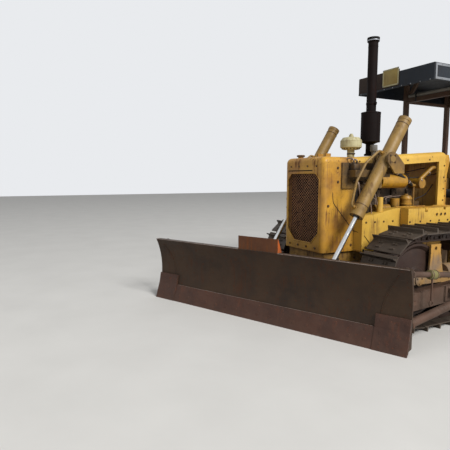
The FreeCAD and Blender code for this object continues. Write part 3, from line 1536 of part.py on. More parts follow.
# upright ribs between bottom box and top channel
for u in (-1120, -760, -400, 400, 760, 1120):
    corners = ((top_back - 8, HIGH - 65), (125, 560), (118, 195))
    stiff.append(backed(u - 8, u + 8, 195, HIGH - 65, corners))
strut_u = HALF - S.strut_inset.number
for sign in (-1, 1):
    u = sign * strut_u
    end = sign * HALF
    ends = sorted((end, end - sign * 16))
    stiff.append(backed(ends[0], ends[1], 40, HIGH, ((top_back, HIGH), (125, 560), (125, 40))))
    for height in (S.strut_upper.number, S.strut_lower.number):
        start = face_at(height) + SKIN - 2
        reach = S.strut_out.number + 40
        for low in (height - 48, height + 32):
            stiff.append(blade_box(u - 32, u + 32, start, reach, low, low + 16))
# centre brackets over and under the push frame's point
turn = math.radians(S.blade_angle.number)
pin_n = (S.blade_ahead + pin_y - NOSE).number * math.cos(turn)
pin_u = pin_n * math.tan(turn)
for low in (S.beam_low.number - 26, S.beam_high.number + 4):
    start = face_at(low) + SKIN - 2
    stiff.append(blade_box(-110, 110, start, pin_n + 75, low, low + 22))
blade_solid = skin.multiFuse(stiff)
pin_hole = Part.makeCylinder(40.3, HIGH, Vector(pin_u, pin_n, 0), Vector(0, 0, 1))
blade_solid = blade_solid.cut(pin_hole)
for sign in (-1, 1):
    for height in (S.strut_upper.number, S.strut_lower.number):
        start = Vector(sign * strut_u, S.strut_out.number, height - 55)
        hole = Part.makeCylinder(20.3, 110, start, Vector(0, 0, 1))
        blade_solid = blade_solid.cut(hole)
node("moldboard", shape("Moldboard", on_blade(blade_solid)))

edge_z = S.edge_high.number
edge_n = face_at(edge_z)
length = math.hypot(edge_n, edge_z)
shift_n = -S.edge_thick.number * edge_z / length
shift_z = S.edge_thick.number * edge_n / length
edge_profile = ((0, 0), (edge_n, edge_z), (edge_n + shift_n, edge_z + shift_z), (shift_n, 0))
bit_n = face_at(S.bit_high.number)
bit_top = S.bit_high.number
bit_profile = (
    (0, 0),
    (edge_n, edge_z),
    (bit_n, bit_top),
    (bit_n - 22, bit_top + 4),
    (edge_n - 26, edge_z + 6),
    (-24, 0),
)
inner = HALF - S.bit_long.number
cutting = [
    along_blade(edge_profile, -inner, inner),
    along_blade(bit_profile, -HALF, -inner),
    along_blade(bit_profile, inner, HALF),
]
node("cutting_edge", shape("CuttingEdge", on_blade(cutting[0].multiFuse(cutting[1:]))))

guard_half = S.guard_plate_half.number
guard_high = S.guard_plate_high.number
top_n = face_at(HIGH) + 2
spill = [blade_box(-guard_half, guard_half, top_n, top_n + 12, HIGH, HIGH + guard_high)]
for sign in (-1, 1):
    x = sign * guard_half
    plate_top = HIGH + guard_high
    gusset = ((top_n, HIGH), (top_n + 90, HIGH), (top_n + 14, plate_top), (top_n, plate_top))
    spill.append(along_blade(gusset, min(x, x - sign * 12), max(x, x - sign * 12)))
node("spill_guard", shape("SpillGuard", on_blade(spill[0].multiFuse(spill[1:]))))

# Struts from the push arms' lugs to the blade's ends


for side, word in SIDES:
    back = S.lug_rear if side > 0 else S.lug_front
    rear_x = side * (ARM_OUT + S.lug_out)
    rear_y = NOSE + back
    middle = arm_middle(back)
    pieces = []
    lug_low = middle + LUG_RISE
    eye_half = S.strut_eye.number / 2
    above = lug_low + S.lug_thick.number + 4 + eye_half
    below = lug_low - 4 - eye_half
    strut_rows = ((S.strut_upper, above, 28, "upper"), (S.strut_lower, below, 42, "lower"))
    for height, centre_z, radius, tag in strut_rows:
        front_point = BLADE.multVec(Vector(side * strut_u, S.strut_out.number, height.number))
        rear_point = vec(rear_x, rear_y, centre_z)
        line = rear_point - front_point
        unit = Vector(line).normalize()
        tube = Part.makeCylinder(radius, line.Length - 120, front_point + unit * 60, unit)
        for point, start in ((front_point, 20), (rear_point, -100)):
            tube = tube.fuse(Part.makeCylinder(40, 60, point - Vector(0, 0, 30), Vector(0, 0, 1)))
            tube = tube.fuse(Part.makeCylinder(22, 80, point + unit * start, unit))
        tube = tube.fuse(Part.makeCylinder(20, 96, front_point - Vector(0, 0, 48), Vector(0, 0, 1)))
        if tag == "upper":
            # the pin through both rear eyes and the lug belongs to the upper strut
            foot = below + eye_half + 0.3
            pin_length = centre_z + eye_half + 12 - foot
            pin_foot = vec(rear_x, rear_y, foot)
            tube = tube.fuse(Part.makeCylinder(S.strut_pin.number, pin_length, pin_foot, Vector(0, 0, 1)))
            middle_point = front_point + unit * (line.Length * 0.22)
            tube = tube.fuse(Part.makeCylinder(44, 110, middle_point, unit))
            # turning handle that hangs from the adjuster
            hang = middle_point + unit * 55 - Vector(0, 0, 270)
            tube = tube.fuse(Part.makeCylinder(9, 240, hang, Vector(0, 0, 1)))
        pieces.append(shape("Strut" + word + tag, tube))
    node("struts_" + word, group("Struts" + word.title(), pieces))

doc.recompute()

problems = []
for thing in doc.Objects:
    if "Invalid" in thing.State or "Error" in thing.State:
        problems.append("%s is %s" % (thing.Name, thing.State))
for thing in NODES:
    if thing.Shape.isNull() or not thing.Shape.isValid() or not thing.Shape.Solids:
        problems.append("%s has no valid solid" % thing.Label)
if problems:
    raise RuntimeError("; ".join(problems))

os.makedirs("parts", exist_ok=True)
for thing in NODES:
    thing.Shape.exportStep("parts/%s.step" % thing.Label)
    print("%-20s %2d solids, %.4f m3" % (thing.Label, len(thing.Shape.Solids), thing.Shape.Volume / 1e9))
print(len(NODES), "nodes")
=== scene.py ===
# %% [markdown]
# # A weathered crawler tractor with an angling blade
#
# The machine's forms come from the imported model. This lesson dresses them: a camera and plain studio light,
# a finish for each surface, and the small things that steel machines carry, such as bolts, weld beads,
# mesh, pipes and cushions. Metres, -Y forward, +X the machine's left, +Z up.

# %% Load the frame
import json
import math

import bmesh
import bpy
from mathutils import Matrix, Vector
from mathutils.bvhtree import BVHTree


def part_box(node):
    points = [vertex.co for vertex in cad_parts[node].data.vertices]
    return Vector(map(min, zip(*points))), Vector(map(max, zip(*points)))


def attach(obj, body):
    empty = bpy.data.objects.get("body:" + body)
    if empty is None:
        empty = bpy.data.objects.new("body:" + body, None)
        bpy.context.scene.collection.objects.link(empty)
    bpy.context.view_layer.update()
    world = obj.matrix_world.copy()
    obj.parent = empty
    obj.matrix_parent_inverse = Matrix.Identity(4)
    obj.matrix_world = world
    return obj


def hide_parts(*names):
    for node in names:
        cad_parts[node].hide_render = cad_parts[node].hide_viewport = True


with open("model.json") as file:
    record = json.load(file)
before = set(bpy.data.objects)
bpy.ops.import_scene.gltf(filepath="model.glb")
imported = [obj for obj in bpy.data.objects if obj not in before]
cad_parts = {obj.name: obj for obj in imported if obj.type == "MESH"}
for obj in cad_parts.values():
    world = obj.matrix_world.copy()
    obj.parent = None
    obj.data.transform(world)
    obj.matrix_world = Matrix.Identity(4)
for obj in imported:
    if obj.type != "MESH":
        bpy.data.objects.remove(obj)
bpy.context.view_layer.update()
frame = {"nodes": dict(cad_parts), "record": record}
NODES = frame["nodes"]
NOSE = -1.225
LEFT, BACK, UP = Vector((1, 0, 0)), Vector((0, 1, 0)), Vector((0, 0, 1))
SIDES = ((1, "Left"), (-1, "Right"))

# %% [markdown]
# ## Camera
# The photograph looks at the machine's left front corner from head height. Position, heading and lens were
# solved from the blade's ground line, the nose and the track, so they are set here as numbers.

# %% Camera
CAMERA_AT = Vector((4.204, -4.444, 1.639))
HEADING, DOWNWARD = math.radians(62.613), math.radians(6.11)
LENS, SENSOR = 35.08, 36.0


def put(name, data):
    """A new object that holds this data, linked to the scene."""
    thing = bpy.data.objects.new(name, data)
    bpy.context.scene.collection.objects.link(thing)
    return thing


looks_along = Vector((
    -math.sin(HEADING) * math.cos(DOWNWARD),
    math.cos(HEADING) * math.cos(DOWNWARD),
    -math.sin(DOWNWARD),
))
camera = put("Camera", bpy.data.cameras.new("Camera"))
camera.data.lens = LENS
camera.data.sensor_width = SENSOR
camera.location = CAMERA_AT
camera.rotation_euler = looks_along.to_track_quat("-Z", "Y").to_euler()
bpy.context.scene.camera = camera
bpy.context.scene.view_settings.view_transform = "Standard"
print("camera", tuple(round(v, 3) for v in CAMERA_AT))

# %% [markdown]
# ## Nodes and colours
# Every finish is a small tree of nodes. One function adds a node: settings go on the node itself, inputs on
# its sockets, where another node's socket becomes a link. Colours are written as the eye knows them, in
# sRGB, and turned to the linear values that the renderer works with.


# %% Helpers for finishes
def linear(code):
    """Linear red, green, blue and alpha of an sRGB hex colour."""
    parts = [int(code[i:i + 2], 16) / 255 for i in (1, 3, 5)]
    return [v / 12.92 if v <= 0.04045 else ((v + 0.055) / 1.055) ** 2.4 for v in parts] + [1.0]


def fill(tree, node, inputs):
    """Sets a node's inputs: another node's socket becomes a link, anything else a value."""
    for name, value in inputs.items():
        if isinstance(value, bpy.types.NodeSocket):
            tree.links.new(value, node.inputs[name])
        else:
            node.inputs[name].default_value = value


def add(tree, kind, inputs=None, out=None, **settings):
    """Adds a node, named without its ShaderNode prefix, and returns its first output in use, or out."""
    node = tree.nodes.new("ShaderNode" + kind)
    for name, value in settings.items():
        setattr(node, name, value)
    fill(tree, node, inputs or {})
    if out:
        return node.outputs[out]
    return next(socket for socket in node.outputs if not socket.is_unavailable)


def blank(name):
    """A new material, its tree, its shader and the place of each surface point, in metres."""
    material = bpy.data.materials.new(name)
    material.use_nodes = True
    tree = material.node_tree
    return material, tree, tree.nodes["Principled BSDF"], add(tree, "TexCoord", out="Object")


# %% [markdown]
# ## Weathered surfaces
# Enamel on a working machine fades in patches, gets dusty, and breaks through to rust, first as chips on
# its edges and then as stains that run down. Bare steel does the same without the paint. So one recipe
# covers the machine: a faded coat, dust, painted shade in corners and hollows, chips from a fine noise that
# edges strengthen, and streaks from a noise that is stretched upwards. Sizes are per metre: a scale of 30
# gives spots of about 30 mm.


# %% Recipe for a weathered surface
def weathered(name, coat, faded, rust, dust_and_shade, chips=0.5, streaks=0.5, dust_and_shade_level=0.4, rough=0.55, metal=0.0,
              grain=90.0, dents=0.12, edges=0.6, shine=0.5, mud_line=None):
    """Coat, faded coat, rust and dust are hex colours; the dust colour also colours mud and paints shade into
    hollows. Chips, streaks, the dust level and edges run from 0 to 1.

    Below mud_line, a height in metres, dried mud covers most of the surface."""
    material, tree, shader, place = blank(name)
    shader.inputs["Specular IOR Level"].default_value = shine

    # faded patches, about 0.4 m across
    patches = add(tree, "TexNoise", {"Vector": place, "Scale": 2.4, "Detail": 6.0, "Roughness": 0.6})
    fading = add(tree, "MapRange", {"Value": patches, "From Min": 0.4, "From Max": 0.65})
    colour = add(tree, "Mix", {"Factor": fading, "A": linear(coat), "B": linear(faded)}, data_type="RGBA")

    # edges of the form, where hands, earth and stones rub
    rounded = add(tree, "Bevel", {"Radius": 0.012}, samples=4)
    facing = add(tree, "NewGeometry", out="Normal")
    turned = add(tree, "VectorMath", {0: rounded, 1: facing}, operation="DOT_PRODUCT")
    edge = add(tree, "MapRange", {"Value": turned, "From Min": 0.995, "From Max": 0.86,
                                  "To Max": 0.16 * edges})

    # chips and blisters, 10 to 40 mm
    blisters = add(tree, "TexNoise", {"Vector": place, "Scale": 26.0, "Detail": 9.0, "Roughness": 0.68})
    lifted = add(tree, "Math", {0: blisters, 1: edge}, operation="ADD")
    chipped = add(tree, "MapRange", {"Value": lifted, "From Min": 0.70 - 0.12 * chips,
                                     "From Max": 0.74 - 0.12 * chips})

    # stains that run down from seams, 25 mm wide and half a metre long
    stretched = add(tree, "Mapping", {"Vector": place, "Scale": (38.0, 38.0, 2.2)})
    runs = add(tree, "TexNoise", {"Vector": stretched, "Scale": 1.0, "Detail": 4.0})
    where = add(tree, "TexNoise", {"Vector": place, "Scale": 4.5, "Detail": 3.0})
    both = add(tree, "Math", {0: runs, 1: where}, operation="MULTIPLY")
    stained = add(tree, "MapRange", {"Value": both, "From Min": 0.29, "From Max": 0.42, "To Max": streaks})
    rusty = add(tree, "Math", {0: chipped, 1: stained}, operation="MAXIMUM")
    tones = add(tree, "TexNoise", {"Vector": place, "Scale": 60.0, "Detail": 5.0})
    dark_rust = [v * 0.45 for v in linear(rust)[:3]] + [1.0]
    rust_tone = add(tree, "Mix", {"Factor": tones, "A": dark_rust, "B": linear(rust)}, data_type="RGBA")
    colour = add(tree, "Mix", {"Factor": rusty, "A": colour, "B": rust_tone}, data_type="RGBA")

    # painted shade: corners and hollows, found by ambient occlusion, take the dust colour; dust also lies in
    # noisy patches
    open_sky = add(tree, "AmbientOcclusion", {"Distance": 0.16}, out="AO", samples=6)
    shaded_hollow = add(tree, "MapRange", {"Value": open_sky, "From Min": 0.95, "From Max": 0.35})
    cloud = add(tree, "TexNoise", {"Vector": place, "Scale": 9.0, "Detail": 7.0, "Roughness": 0.7})
    thin = add(tree, "MapRange", {"Value": cloud, "From Min": 0.42, "From Max": 0.75})
    dust_and_shade_mask = add(tree, "Math", {0: shaded_hollow, 1: thin}, operation="ADD", use_clamp=True)
    dust_and_shade_mask = add(tree, "Math", {0: dust_and_shade_mask, 1: dust_and_shade_level}, operation="MULTIPLY")

    # dried mud, with a ragged upper edge and thin patches
    if mud_line is not None:
        height = add(tree, "SeparateXYZ", {"Vector": place}, out="Z")
        splashed = add(tree, "Math", {0: cloud, 1: 0.6, 2: height}, operation="MULTIPLY_ADD")
        cover = add(tree, "MapRange", {"Value": patches, "From Min": 0.38, "From Max": 0.58,
                                       "To Min": 0.45, "To Max": 0.95})
        mud = add(tree, "MapRange", {"Value": splashed, "From Min": mud_line + 0.34,
                                     "From Max": mud_line + 0.2, "To Max": cover})
        dust_and_shade_mask = add(tree, "Math", {0: dust_and_shade_mask, 1: mud}, operation="MAXIMUM")
    colour = add(tree, "Mix", {"Factor": dust_and_shade_mask, "A": colour, "B": linear(dust_and_shade)}, data_type="RGBA")

    # rust, dust and the painted shade are matt, and rust isn't metal
    matt = add(tree, "Math", {0: rusty, 1: dust_and_shade_mask}, operation="MAXIMUM")
    roughness = add(tree, "MapRange", {"Value": matt, "To Min": rough, "To Max": 0.92})
    if metal:
        bare = add(tree, "MapRange", {"Value": matt, "To Min": metal, "To Max": 0.0})
        fill(tree, shader, {"Metallic": bare})

    # grain of the surface over shallow dents, and the step where the coat has flaked off
    fine = add(tree, "TexNoise", {"Vector": place, "Scale": grain, "Detail": 6.0, "Roughness": 0.7})
    dent = add(tree, "TexNoise", {"Vector": place, "Scale": 3.5, "Detail": 2.0})
    relief = add(tree, "Bump", {"Height": fine, "Strength": 0.25, "Distance": 0.003})
    swell = add(tree, "Bump", {"Height": dent, "Strength": 1.0, "Distance": dents * 0.1, "Normal": relief})
    flake = add(tree, "Bump", {"Height": rusty, "Strength": 0.35, "Distance": 0.0015, "Normal": swell},
                invert=True)
    fill(tree, shader, {"Base Color": colour, "Roughness": roughness, "Normal": flake})
    return material


# %% [markdown]
# ## Finishes of the machine
# The yellow is an old brushed enamel: chalky where the sun reaches it, brown where it has gone. The blade
# was never repainted and is rolled plate with a skin of dark rust. Track shoes are rolled steel, polished
# where they meet stone and dusty elsewhere. The muffler's sheet is burnt. Each row starts with the colours
# of the coat, the faded coat, the rust and the dust, which is also the painted shade in hollows.

# %% Finishes
FINISH = {
    # enamel, brushed on, chalked by the sun
    "yellow_paint": weathered("BrushedYellowEnamel", "#C9982F", "#B07A22", "#6E3C16", "#7E6036",
                              chips=0.6, streaks=0.8, dust_and_shade_level=0.35, rough=0.42),
    # enamel of the precleaner's bowl, faded nearly white
    "pale_paint": weathered("FadedEnamel", "#AFA67A", "#BDB68F", "#7A5230", "#857A5C", chips=0.3,
                            streaks=0.5),
    # rolled plate with a dark rust skin
    "blade_steel": weathered("DarkRustPlate", "#3A2818", "#281B11", "#52301D", "#4A3A2B", chips=0.8,
                             streaks=0.55, dust_and_shade_level=0.18, rough=0.6, grain=140.0, dents=0.25, shine=0.3),
    # expanded steel mesh, rusted through to light brown
    "rusty_mesh": weathered("RustyMesh", "#B07C54", "#8E603E", "#54301C", "#8A6E52", chips=0.5, dust_and_shade_level=0.3,
                            rough=0.7),
    # the cooler's black core behind the mesh, which gives almost no light back
    "core_black": weathered("DustyCore", "#0F0C0A", "#14100D", "#1E130C", "#1E1812", dust_and_shade_level=0.2, rough=0.8,
                            shine=0.2),
    # rolled shoe steel, with mud in its corners
    "track_steel": weathered("ShoeSteel", "#4C433B", "#39302A", "#4C3222", "#5E5143", chips=0.5, dust_and_shade_level=0.5,
                             rough=0.5, metal=0.3, grain=120.0, shine=0.35),
    # cast links and hubs under old grease, dark with a little gloss
    "dark_steel": weathered("GreasyCastSteel", "#33211A", "#271B16", "#442818", "#4A3A2C", chips=0.5,
                            dust_and_shade_level=0.25, rough=0.5, metal=0.1, shine=0.35),
    # frame enamel under dirt, chipped by stones
    "frame_steel": weathered("DirtyFramePaint", "#A87A2C", "#6E4E26", "#55301A", "#5C442A", chips=0.8,
                             streaks=0.8, dust_and_shade_level=0.6, rough=0.6),
    # bare rolled steel, evenly rusted to brown
    "rusty_steel": weathered("RustBrownSteel", "#52392B", "#403024", "#442A1B", "#6C5C50", chips=0.7,
                             dust_and_shade_level=0.35, rough=0.65, metal=0.1, shine=0.35),
    # enamelled engine fittings in oil, warm and a little wet
    "grey_fittings": weathered("OilyFittings", "#B5841E", "#84601F", "#4E2E16", "#3A2A1A", chips=0.6,
                               streaks=0.6, dust_and_shade_level=0.5, rough=0.3),
    # exhaust sheet, burnt nearly black and matt
    "exhaust_brown": weathered("BurntSheet", "#120806", "#0D0605", "#28110A", "#1F1610", chips=0.6,
                               dust_and_shade_level=0.08, rough=0.7, shine=0.12),
    # embossed vinyl, smooth, with dust in its folds
    "black_vinyl": weathered("BlackVinyl", "#151414", "#1C1A19", "#241F1B", "#3A332B", chips=0.0, streaks=0.0,
                             dust_and_shade_level=0.3, rough=0.5, edges=0.0, shine=0.35),
    # canopy sheet in blue-black paint, dulled by weather
    "canopy_blue": weathered("BlueBlackPaint", "#141B24", "#1A2028", "#2C1E17", "#2E2C2A", chips=0.35,
                             streaks=0.4, dust_and_shade_level=0.25, rough=0.5, shine=0.3),
    # anodised strip, dull with age
    "bright_trim": weathered("DullAluminium", "#9A9DA2", "#85888C", "#5E5850", "#77736C", chips=0.1,
                             streaks=0.2, dust_and_shade_level=0.3, rough=0.4, metal=0.7, edges=0.2),
}
print("finishes for the record's slots", len(FINISH))

# %% [markdown]
# Some pieces have weathered in a way of their own. They take a finish below instead of the finish of the
# record's slot whose material they share.

# %% Finishes of single pieces
FINISH.update({
    # the same enamel on the hood and boxes, made lighter: painted sunlight
    "painted_sunlit_yellow": weathered("SunlitYellowEnamel", "#D6AC46", "#C69A3C", "#6E3C16", "#8A6A3C", chips=0.4,
                               streaks=0.6, dust_and_shade_level=0.25, rough=0.4),
    # the same enamel on the nose, with stains below its bolts and seams
    "stained_yellow": weathered("StainedEnamel", "#C6932B", "#99681F", "#6A3814", "#75582F", chips=0.65,
                                streaks=1.0, dust_and_shade_level=0.4, rough=0.42),
    # enamel of the track frames under dried mud
    "muddy_frame": weathered("MuddyFramePaint", "#B4842C", "#7A5626", "#55301A", "#75675A", chips=0.7,
                             streaks=0.7, dust_and_shade_level=0.4, rough=0.55, mud_line=0.83),
    # enamel soaked with oil and dust beside the hydraulic fittings, darkened further as painted shade of that
    # corner
    "oily_shaded_bracket": weathered("OilyShadedBracketPaint", "#8E6A28", "#4E381B", "#3E2612", "#1F1711", chips=0.6,
                              streaks=0.8, dust_and_shade_level=0.7, rough=0.4),
    # cast iron under oil and dust, dark brown with a soft gloss
    "oily_casting": weathered("OilyCasting", "#6A4C1E", "#3E2D19", "#33200F", "#17110D", chips=0.6,
                              streaks=0.7, dust_and_shade_level=0.85, rough=0.35),
    # enamel of deck and case, dirty from boots and leaks
    "dirty_yellow": weathered("DirtyYellowEnamel", "#B08434", "#7E5E2C", "#55301A", "#45341F", chips=0.75,
                              streaks=0.9, dust_and_shade_level=0.6, rough=0.5),
    # enamel of the lift barrels under a film of dust, darker still as painted shade
    "dusty_shaded_barrel": weathered("DustyShadedBarrel", "#927132", "#765A2A", "#583415", "#63502E", chips=0.6,
                              streaks=0.6, dust_and_shade_level=0.5, rough=0.5),
    # thin plate with fresh, orange rust
    "rust_orange": weathered("OrangeRust", "#5C361F", "#482A19", "#75401C", "#5E4630", chips=0.8, streaks=0.8,
                             dust_and_shade_level=0.3, rough=0.75, shine=0.3),
    # bolt heads whose paint the spanner has broken
    "bolt_steel": weathered("RustyBoltHeads", "#5E421F", "#42301C", "#42260F", "#503C26", chips=0.7,
                            dust_and_shade_level=0.3, rough=0.5, metal=0.2),
    # weathered board, matt brown-black
    "dull_board": weathered("DullBoard", "#2E2623", "#3A302C", "#42281C", "#4E443A", chips=0.2, dust_and_shade_level=0.4,
                            rough=0.8, edges=0.2, shine=0.2),
    # bare sheet plate in bleached yellow lacquer
    "blank_plate": weathered("BlankPlate", "#A08A48", "#8C7234", "#6E4426", "#7E7050", chips=0.4, dust_and_shade_level=0.3,
                             rough=0.5, edges=0.3),
    # hard edge steel that earth has ground, redder than the sheet
    "worn_edge": weathered("WornEdgePlate", "#472C20", "#352119", "#6A3E2C", "#5E4A3E", chips=0.7,
                           streaks=0.5, dust_and_shade_level=0.25, rough=0.5, grain=140.0, dents=0.25, shine=0.3),
    # pale polished steel, laid along edges as a painted highlight
    "edge_highlight": weathered("EdgeHighlightSteel", "#8E8078", "#74645A", "#5C4030", "#6A5A4C", chips=0.5, dust_and_shade_level=0.2,
                             rough=0.35, metal=0.5),
    # coarse woven canvas, grey and matt
    "canvas": weathered("GreyCanvas", "#86847F", "#6E6C68", "#5A5048", "#5E5850", chips=0.0, streaks=0.3,
                        dust_and_shade_level=0.5, rough=0.95, grain=420.0, edges=0.0),
    # moulded rubber, dull black
    "rubber": weathered("BlackRubber", "#100F0E", "#181614", "#241E18", "#342C24", chips=0.0, streaks=0.0,
                        dust_and_shade_level=0.3, rough=0.5, edges=0.0, shine=0.35),
    # drawn steel pipe, bare, with a first bloom of rust
    "bare_pipe": weathered("BarePipe", "#A48F80", "#8C786A", "#6A4A34", "#5C4A3A", chips=0.5, dust_and_shade_level=0.3,
                           rough=0.35, metal=0.4),
    # brushed touch-up paint, orange turned brown
    "orange_paint": weathered("OldOrangePaint", "#B4571E", "#8E4A20", "#4A2A1A", "#6A5036", chips=0.7,
                              dust_and_shade_level=0.3, rough=0.55),
    # brushed paint of a replaced part, a dirty yellow-green
    "green_paint": weathered("YellowGreenPaint", "#726C38", "#645C36", "#4E3420", "#6A5C3C", chips=0.7,
                             dust_and_shade_level=0.35, rough=0.5),
})
print("finishes", len(FINISH))

# %% [markdown]
# The lift rods are hard chrome, nearly a mirror, with fine scratches along the stroke and a film of dust.

# %% Hard chrome
FINISH["chrome_rod"], tree, shader, place = blank("HardChrome")
scratched = add(tree, "Mapping", {"Vector": place, "Scale": (220.0, 40.0, 25.0)})
scratches = add(tree, "TexNoise", {"Vector": scratched, "Scale": 1.0, "Detail": 5.0})
film = add(tree, "TexNoise", {"Vector": place, "Scale": 12.0, "Detail": 5.0})
dull = add(tree, "MapRange", {"Value": film, "From Min": 0.3, "From Max": 0.8, "To Min": 0.12,
                              "To Max": 0.42})
tint = add(tree, "Mix", {"Factor": film, "A": linear("#DDE0E4"), "B": linear("#A9A59C")}, data_type="RGBA")
scored = add(tree, "Bump", {"Height": scratches, "Strength": 0.1, "Distance": 0.0005})
fill(tree, shader, {"Base Color": tint, "Roughness": dull, "Metallic": 1.0, "Normal": scored})

# %% Give each node of the frame its finish
OWN_FINISH = {
    # finish: the nodes that take it instead of their slot's own
    "oily_casting": ("engine_block",),
    # oily paint, darkened further as painted shade
    "oily_shaded_bracket": ("lift_bracket_left", "lift_bracket_right"),
    "muddy_frame": ("track_frame_left", "track_frame_right"),
    # a lighter copy of the enamel, as painted sunlight
    "painted_sunlit_yellow": ("side_boxes_left", "side_boxes_right", "hood"),
    "stained_yellow": ("radiator_guard",),
    "dirty_yellow": ("main_frame", "steering_case", "final_drive_left", "final_drive_right", "platform",
                     "seat_base"),
    # dusty enamel, darker as painted shade
    "dusty_shaded_barrel": ("lift_barrel_left", "lift_barrel_right"),
    "rust_orange": ("spill_guard",),
    "worn_edge": ("cutting_edge",),
}
finish_of = {node: finish for finish, nodes in OWN_FINISH.items() for node in nodes}
for row in frame["record"]["subparts"]:
    mesh = NODES[row["node"]].data
    mesh.materials.clear()
    mesh.materials.append(FINISH[finish_of.get(row["node"], row["material_slot"])])
print("nodes with a finish of their own", len(finish_of))

# %% [markdown]
# ## Floor and light
# A plain pale floor and even light let the finishes speak. The big soft lamp stands far off where the sun
# stood, on the machine's left, so that the long side is bright and the front is calmer. The world gives its
# own even light, but the camera and mirrors see a paler backdrop.


# %% Floor
def meshed(name, made):
    """The mesh of a finished bmesh, which is freed."""
    mesh = bpy.data.meshes.new(name)
    made.to_mesh(mesh)
    made.free()
    return mesh


floor_finish, tree, shader, place = blank("PaleFloor")
speckle = add(tree, "TexNoise", {"Vector": place, "Scale": 1.5, "Detail": 6.0})
pale = add(tree, "Mix", {"Factor": speckle, "A": linear("#C9C7C2"), "B": linear("#D6D4CF")}, data_type="RGBA")
fill(tree, shader, {"Base Color": pale, "Roughness": 0.9})
made = bmesh.new()
bmesh.ops.create_grid(made, x_segments=1, y_segments=1, size=40.0)
floor = put("Floor", meshed("Floor", made))
floor.data.materials.append(floor_finish)
print("floor", tuple(floor.dimensions[:2]))

# %% Light
world = bpy.data.worlds.new("Studio")
world.use_nodes = True
bpy.context.scene.world = world
tree = world.node_tree
sky = tree.nodes["Background"]
fill(tree, sky, {"Color": linear("#F4F6FA"), "Strength": 0.38})
backdrop = add(tree, "Background", {"Color": linear("#E9EBEE"), "Strength": 1.0})
ray = add(tree, "LightPath").node.outputs
seen = add(tree, "Math", {0: ray["Is Camera Ray"], 1: ray["Is Glossy Ray"]}, operation="MAXIMUM")
seen = add(tree, "Math", {0: seen, 1: ray["Is Transmission Ray"]}, operation="MAXIMUM")
shown = add(tree, "MixShader", {"Fac": seen, 1: sky.outputs["Background"], 2: backdrop})
fill(tree, tree.nodes["World Output"], {"Surface": shown})
LAMPS = (
    # name, where it stands, what it looks at, width in metres, power in watts
    ("Key", (26.4, 3.0, 22.0), (0.3, 0.0, 1.0), 12.0, 12600.0),
    ("Fill", (1.0, -9.0, 5.0), (0.0, -1.0, 1.0), 5.0, 50.0),
)
for name, where, target, width, power in LAMPS:
    lamp = put(name, bpy.data.lights.new(name, "AREA"))
    lamp.data.size = width
    lamp.data.energy = power
    lamp.location = where
    lamp.rotation_euler = (Vector(target) - Vector(where)).to_track_quat("-Z", "Y").to_euler()
print("lamps", len(LAMPS))

# %% [markdown]
# ## Making pieces
# A new piece starts as an empty bmesh, the editable mesh that Blender's operators work on. Boxes, drums and
# bolts are drawn into it with create operators and a bevel, in the machine's own metres, so that the
# finished object can sit at the origin. `settle` closes the work: it merges doubles, turns the faces
# outwards, shades round surfaces smooth, and makes the piece ride on a body of the frame.


# %% Helpers for pieces
def settle(name, made, slot, finish=None, body="tractor"):
    """Turns a bmesh into a piece that rides on a body, with the given finish or else its slot's finish."""
    bmesh.ops.remove_doubles(made, verts=made.verts, dist=0.00002)
    bmesh.ops.recalc_face_normals(made, faces=made.faces)
    piece = put(name, meshed(name, made))
    piece.data.shade_smooth()
    piece.data.set_sharp_from_angle(angle=math.radians(32))
    piece.data.materials.append(FINISH[finish or slot])
    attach(piece, body)
    print(name, len(piece.data.polygons), "faces")
    return piece


def soften(made, verts, radius, segments=2):
    """Rounds the sharp edges of the solid that holds these vertices."""
    edges = {edge for vert in verts for edge in vert.link_edges if edge.calc_face_angle(0.0) > 0.6}
    bmesh.ops.bevel(made, geom=list(edges), offset=radius, segments=segments, profile=0.5, affect="EDGES",
                    material=-1)


def slab(made, corner, opposite, radius=0.0, segments=2):
    """A box between two opposite corners, with rounded edges where a radius is given."""
    low, high = (Vector(ends) for ends in zip(*(sorted(pair) for pair in zip(corner, opposite))))
    place = Matrix.Translation((low + high) / 2) @ Matrix.Diagonal((*(high - low), 1.0))
    verts = bmesh.ops.create_cube(made, size=1.0, matrix=place)["verts"]
    if radius:
        soften(made, verts, radius, segments)


def drum(made, start, run, radius, end_radius=None, segments=24, rim=0.0):
    """A round bar or cone from a point along a vector, as long as the vector is."""
    run = Vector(run)
    place = Matrix.Translation(Vector(start) + run / 2) @ run.to_track_quat("Z", "Y").to_matrix().to_4x4()
    verts = bmesh.ops.create_cone(made, cap_ends=True, segments=segments, radius1=radius,
                                  radius2=radius if end_radius is None else end_radius, depth=run.length,
                                  matrix=place)["verts"]
    if rim:
        soften(made, verts, rim)


def bolts(made, along, size, *points):
    """Hexagon heads on washers, one at each point; size is half the width across a head's corners."""
    up = Vector(along).normalized() * size
    for point in points:
        foot = Vector(point) - up.normalized() * 0.001
        drum(made, foot, up * 0.3, size * 1.25, segments=12)
        drum(made, foot + up * 0.3, up * 0.65, size, size * 0.88, segments=6)


def ring(heart, radius, count, across, up, start=0.0):
    """Points on a circle in the plane of two directions, from the angle start towards up."""
    angles = [math.tau * index / count + start for index in range(count)]
    return [Vector(heart) + (across * math.cos(angle) + up * math.sin(angle)) * radius for angle in angles]


# %% [markdown]
# Wires and pipes are curves: a few points, a smooth NURBS line through the air between them, and a radius.
# Some plates are prisms, an outline that is extruded.


